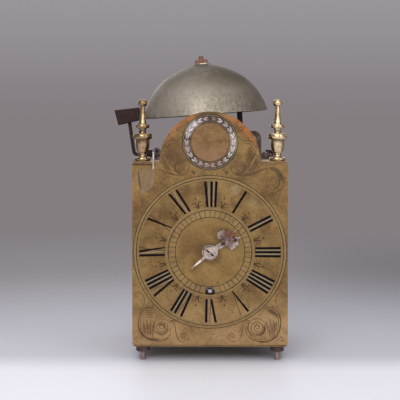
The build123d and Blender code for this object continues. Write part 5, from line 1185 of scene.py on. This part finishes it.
def lobe(points, faces, root, tip, half, rise, y, back=0.0, groove=0.3):
    """A leaf lobe swelling from root to a pointed tip, with a groove down its middle.  Root and
    tip are millimetres on the dial; y is the depth of its edge in metres, and back, when it is
    not 0, closes the lobe that many millimetres behind."""
    long_steps, wide_steps = 8, 6
    dx, dz = tip[0] - root[0], tip[1] - root[1]
    size = math.hypot(dx, dz)
    along, across = (dx / size, dz / size), (-dz / size, dx / size)
    first, row = len(points), wide_steps + 1
    for behind in (0.0, back) if back else (0.0,):
        for i in range(long_steps + 1):
            u = i / long_steps
            wide = half * max(math.sin(math.pi * (0.12 + 0.88 * u) ** 1.15), 0.05) ** 0.8
            for j in range(row):
                v = 2 * j / wide_steps - 1
                swell = (1 - v * v) * (0.35 + 0.65 * math.sin(math.pi * u))
                lift = swell - groove * math.exp(-((v / 0.25) ** 2))
                out = -behind if behind else max(rise * lift, 0.0)
                points.append((
                    (root[0] + along[0] * size * u + across[0] * v * wide) * MM, y - out * MM,
                    (root[1] + along[1] * size * u + across[1] * v * wide) * MM,
                ))
    for i in range(long_steps):
        for j in range(wide_steps):
            a = first + i * row + j
            faces.append((a, a + 1, a + row + 1, a + row))
            if back:
                b = a + (long_steps + 1) * row
                faces.append((b, b + row, b + row + 1, b + 1))


class CLOCK_OT_husks(bpy.types.Operator):
    """Lay the silvered husks round the roundel"""

    bl_idname = "clock.husks"
    bl_label = "Lay the husks"

    count: bpy.props.IntProperty(
        name="Husks", description="Husks on each side", default=11, min=4, max=30
    )
    radius = 23.6  # of the husks' middle line, in millimetres
    gap_lean = math.degrees(0.03)

    def execute(self, context):
        points, faces = [], []
        ground = RING_FACE + 0.55 * MM
        centre = (0.0, ROUNDEL)
        lap = 180 / self.count
        for side in (-1, 1):
            for k in range(self.count):
                turn = side * (180 - k * lap)
                after = side * (180 - (k + 0.93) * lap)
                for way in (-1, 1):
                    lobe(
                        points, faces, around(centre, self.radius + way * 0.35, turn),
                        around(centre, self.radius + way * 1.7, after),
                        1.3, 0.55, ground, groove=0.12,
                    )
                bud, end = around(centre, self.radius, turn), around(centre, self.radius, after)
                lobe(points, faces, bud, midway(bud, end), 1.0, 0.55, ground, groove=0.0)
        piece("husks", points, faces, "worn_silvering", "frame", smooth=True)
        lines = Engraving(RING_FACE, TRIM_LIFT)
        for radius, width in ((27.0, 0.45), (20.3, 0.3)):
            lines.circle(centre, radius, width, steps=96)
        lines.finish("husk_ring_lines", "bright_cut_and_highlight", "silvered_brass")
        dark = Engraving(DIAL_FACE)
        dark.circle(centre, 27.9, 0.5, steps=96)
        dark.finish("husk_ring_outline", "graver_line", "brass_dial")
        shut = Engraving(RING_FACE + 0.45 * MM, SHADE_LIFT)
        for k in range(2 * self.count):
            turn = (k + 0.5 * (k % 2)) * lap
            shut.strip([
                around(centre, radius, turn + lean)
                for radius, lean in ((21.0, 0.0), (self.radius, self.gap_lean), (26.4, 0.0))
            ], 0.35, 0.4)
        shut.finish("husk_gaps", "black_wax", "silvered_brass")
        return {"FINISHED"}


class CLOCK_OT_leaves(bpy.types.Operator):
    """Chase the leaves of the hands' heads and the lines of their hub"""

    bl_idname = "clock.leaves"
    bl_label = "Chase the hands"

    # Each hand: its piece, node and body, its angle from XII, the middle of its head, and its
    # head's size against the minute hand's.
    hands = (
        ("minute_leaves", "minute_hand", "minute_set", 47.0, 22.0, 1.0),
        ("hour_leaves", "hour_hand", "hour_set", 64.5, 24.5, 0.78),
    )
    head_middle = 22.0
    # Leaves of the minute hand's left half: root and tip, in millimetres along the hand from
    # the hub and to its left, with each leaf's half width.
    leaves = (
        (18.6, 1.6, 15.4, 6.2, 1.15), (19.0, 2.2, 17.0, 8.6, 1.3), (20.0, 2.6, 19.6, 9.9, 1.35),
        (21.4, 2.6, 22.6, 9.8, 1.35), (22.8, 2.2, 25.2, 8.0, 1.3), (23.8, 1.6, 27.0, 5.2, 1.2),
        (24.4, 0.8, 28.4, 2.6, 1.0), (21.0, 0.9, 24.6, 1.2, 1.0),
    )

    def execute(self, context):
        for name, node, body, angle, middle, scale in self.hands:
            points, faces = [], []
            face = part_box(node)[0].y + 0.1 * MM

            def at(out, left):
                return on_dial(middle + (out - self.head_middle) * scale, angle, -left * scale)

            for root_out, root_left, tip_out, tip_left, half in self.leaves:
                for side in (-1, 1):
                    root, tip = at(root_out, side * root_left), at(tip_out, side * tip_left)
                    lobe(points, faces, root, tip, half * scale, 0.3, face, back=0.6, groove=0.45)
            piece(name, points, faces, "hand_steel", body, smooth=True)
        chased = Engraving(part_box("minute_hand")[0].y, SHADE_LIFT)
        for across, up, radius, start, sweep, width, swell in (
            (0.0, 0.0, 7.0, 110, 150, 0.4, 0.5), (0.0, 0.0, 6.4, -110, 120, 0.55, 0.5),
            (-0.6, 5.8, 2.5, -110, 230, 0.5, 0.5), (-0.6, 6.0, 1.0, 0, 360, 0.35, 0.0),
            (7.6755, 7.161, 1.0, 100, 110, 0.35, 0.4), (9.0644, 8.4568, 1.0, 100, 110, 0.35, 0.4),
            (10.6726, 9.9572, 1.0, 100, 110, 0.35, 0.4),
        ):
            chased.arc((across, HUB + up), radius, start, sweep, width, swell)
        for width, *stops in (
            (0.8, (-7.2, 2.4), (-6.0, 3.8), (-4.4, 4.2)),
            (0.6, (3.2, 1.0), (4.8, 0.4), (5.6, -1.4)),
        ):
            chased.strip([(x, HUB + up) for x, up in stops], width, 0.6)
        chased.finish("hub_lines", "black_wax", "hand_steel", body="minute_set")
        return {"FINISHED"}


class CLOCK_OT_screws(bpy.types.Operator):
    """Cut the screw slots and brighten the end of the winding square"""

    bl_idname = "clock.screws"
    bl_label = "Cut the screw slots"

    slot_half_width = 0.35
    slot_lift = 2e-5
    cock_screw_height = 205.71
    square_half = 1.6

    def execute(self, context):
        points, faces = [], []
        plate_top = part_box("plate_screws")[1].z / MM
        for x, y, z, reach, turn in (
            (60.0, 0.0, plate_top, 3.0, 35), (-57.0, -9.3, self.cock_screw_height, 2.0, 70),
            (-57.0, 9.3, self.cock_screw_height, 2.0, 10),
        ):
            a = math.radians(turn)
            along = Vector((math.cos(a), math.sin(a))) * reach
            across = Vector((-math.sin(a), math.cos(a))) * self.slot_half_width
            first = len(points)
            for s, t in ((-1, -1), (1, -1), (1, 1), (-1, 1)):
                corner = Vector((x, y)) + s * along + t * across
                points.append((corner.x * MM, corner.y * MM, z * MM + self.slot_lift))
            faces.append(tuple(range(first, first + 4)))
        piece("screw_slots", points, faces, "black_wax", "frame")
        middle, half = middle_height("winding_arbor") / MM, self.square_half
        end = Engraving(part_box("winding_arbor")[0].y, SHADE_LIFT)
        end.face([
            (x * half, middle + z * half) for x, z in ((-1, -1), (1, -1), (1, 1), (-1, 1))
        ])
        end.finish("winding_square_end", "bare_steel_end", "arbor_steel", body="winding_set")
        return {"FINISHED"}


class CLOCK_OT_stage(bpy.types.Operator):
    """Set the floor, the backdrop, the lamps and the camera"""

    bl_idname = "clock.stage"
    bl_label = "Set the stage"

    # Each lamp: name, place and size in metres, and power in watts at full level.
    lamps = (
        ("key_lamp", (-0.32, -1.7, 1.15), (1.1, 1.1), 31.0),
        ("fill_lamp", (1.3, -1.5, 0.8), (0.9, 0.9), 14.0),
        ("front_lamp", (-0.1, -2.7, 1.1), (1.8, 1.2), 22.0),
        ("top_lamp", (0.0, -0.2, 1.6), (1.5, 1.5), 16.0),
        ("back_lamp", (-0.3, 1.9, 0.75), (1.3, 1.3), 14.0),
    )
    lamp_aim = Vector((0.0, 0.0, 0.15))
    floor_reach, floor_rings, floor_sides = 4.0, 24, 64
    floor_middle = (0.0, -0.5, 0.0)

    def execute(self, context):
        s = context.scene.clock_studio
        self.floor(s)
        self.world(s)
        for name, place, size, power in self.lamps:
            self.lamp(name, place, size, power * s.lamp_level)
        self.camera(context)
        context.scene.view_settings.view_transform = "Standard"
        return {"FINISHED"}

    def floor(self, s):
        """A round pale floor, brighter in front of the clock and darker under and behind it as a
        painted shadow, that darkens into the far backdrop.
        """
        finish = bpy.data.materials.new("studio_floor")
        finish.use_nodes = True
        board = Board(finish.node_tree)
        shader = finish.node_tree.nodes["Principled BSDF"]
        output = finish.node_tree.nodes["Material Output"]
        at = board.place()
        # painted shadow: the floor is darker under and behind the clock than in front of it
        front = board.spread(board.apart(at)[1], -0.04, -0.13)
        near = board.nearness(at, self.floor_middle, 0.3, 1.25)
        tint = board.blend(near, srgb(128, 125, 130), (*s.floor, 1))
        board.feed(shader.inputs["Base Color"], board.blend(front, tint, srgb(243, 243, 250)))
        shader.inputs["Roughness"].default_value = 0.55
        shader.inputs["Specular IOR Level"].default_value = 0.2
        glow = board.add("Emission", {"Color": (*s.backdrop, 1)})
        far = board.rest_of(board.nearness(at, self.floor_middle, 0.75, 1.9))
        mixed = board.add("MixShader", {
            0: board.times(board.background_rays(), far), 1: shader.outputs[0], 2: glow.outputs[0],
        })
        board.feed(output.inputs["Surface"], mixed.outputs[0])

        rings, sides = self.floor_rings, self.floor_sides
        points, faces = [(0.0, 0.0, 0.0)], []
        for i in range(1, rings + 1):
            radius = self.floor_reach * (i / rings) ** 2
            for k in range(sides):
                a = k * math.tau / sides
                points.append((radius * math.cos(a), radius * math.sin(a), 0.0))
        for k in range(sides):
            after = (k + 1) % sides
            faces.append((0, 1 + k, 1 + after))
            for a in range(1, 1 + (rings - 1) * sides, sides):
                b = a + sides
                faces.append((a + k, b + k, b + after, a + after))
        mesh = bpy.data.meshes.new("studio_floor")
        mesh.from_pydata(points, [], faces)
        made = bpy.data.objects.new("studio_floor", mesh)
        bpy.context.scene.collection.objects.link(made)
        mesh.materials.append(finish)

    def world(self, s):
        """A grey backdrop for the camera, and a plain soft light for everything else."""
        world = bpy.data.worlds.new("studio_world")
        bpy.context.scene.world = world
        world.use_nodes = True
        board = Board(world.node_tree)
        back = world.node_tree.nodes["Background"]
        up = board.apart(board.add("TexCoord").outputs["Generated"])[2]
        seen = board.blend(board.spread(up, 0.0, 0.12), (*s.backdrop, 1), srgb(154, 149, 154))
        lit = board.blend(board.spread(up, -0.1, 0.7), srgb(96, 94, 96), srgb(168, 166, 172))
        board.feed(back.inputs["Color"], board.blend(board.background_rays(), lit, seen))
        back.inputs["Strength"].default_value = 1.0

    def lamp(self, name, place, size, power):
        data = bpy.data.lights.new(name, "AREA")
        data.shape = "RECTANGLE"
        data.size, data.size_y = size
        data.energy = power
        made = bpy.data.objects.new(name, data)
        made.location = place
        aim = self.lamp_aim - made.location
        made.rotation_euler = aim.to_track_quat("-Z", "Y").to_euler()
        bpy.context.scene.collection.objects.link(made)

    def camera(self, context):
        """The photograph's camera: level with the dial's upper half, and slightly shifted."""
        data = bpy.data.cameras.new("photo_camera")
        data.sensor_width = 36.0
        data.lens = 99.2
        data.shift_y = -0.094
        made = bpy.data.objects.new("photo_camera", data)
        made.location = (0.0, -1.1795, 0.2378)
        aim = Vector((-0.010, DIAL_FACE, 0.2003)) - made.location
        made.rotation_euler = aim.to_track_quat("-Z", "Y").to_euler()
        context.scene.collection.objects.link(made)
        context.scene.camera = made


STEPS = (
    CLOCK_OT_stage, CLOCK_OT_finishes, CLOCK_OT_chapter, CLOCK_OT_numerals, CLOCK_OT_scrolls,
    CLOCK_OT_husks, CLOCK_OT_leaves, CLOCK_OT_screws,
)
SETTINGS = {
    "clock_dial": DialSizes, "clock_finish": FinishColours, "clock_studio": StudioSettings,
}


class CLOCK_PT_dressing(bpy.types.Panel):
    """The clock's sizes, colours and steps"""

    bl_idname = "CLOCK_PT_dressing"
    bl_label = "Lantern Clock"
    bl_space_type = "VIEW_3D"
    bl_region_type = "UI"
    bl_category = "Lantern Clock"

    def draw(self, context):
        for name in SETTINGS:
            settings = getattr(context.scene, name)
            box = self.layout.box()
            for field in settings.__annotations__:
                box.prop(settings, field)
        for step in STEPS:
            self.layout.operator(step.bl_idname)


def register():
    for kind in (*SETTINGS.values(), *STEPS, CLOCK_PT_dressing):
        bpy.utils.register_class(kind)
    for name, kind in SETTINGS.items():
        setattr(bpy.types.Scene, name, bpy.props.PointerProperty(type=kind))


def unregister():
    for name in SETTINGS:
        delattr(bpy.types.Scene, name)
    for kind in (CLOCK_PT_dressing, *STEPS, *SETTINGS.values()):
        bpy.utils.unregister_class(kind)


def main():
    """Runs every step in order."""
    register()
    for step in STEPS:
        family, name = step.bl_idname.split(".")
        getattr(getattr(bpy.ops, family), name)()


if __name__ == "__main__":
    main()
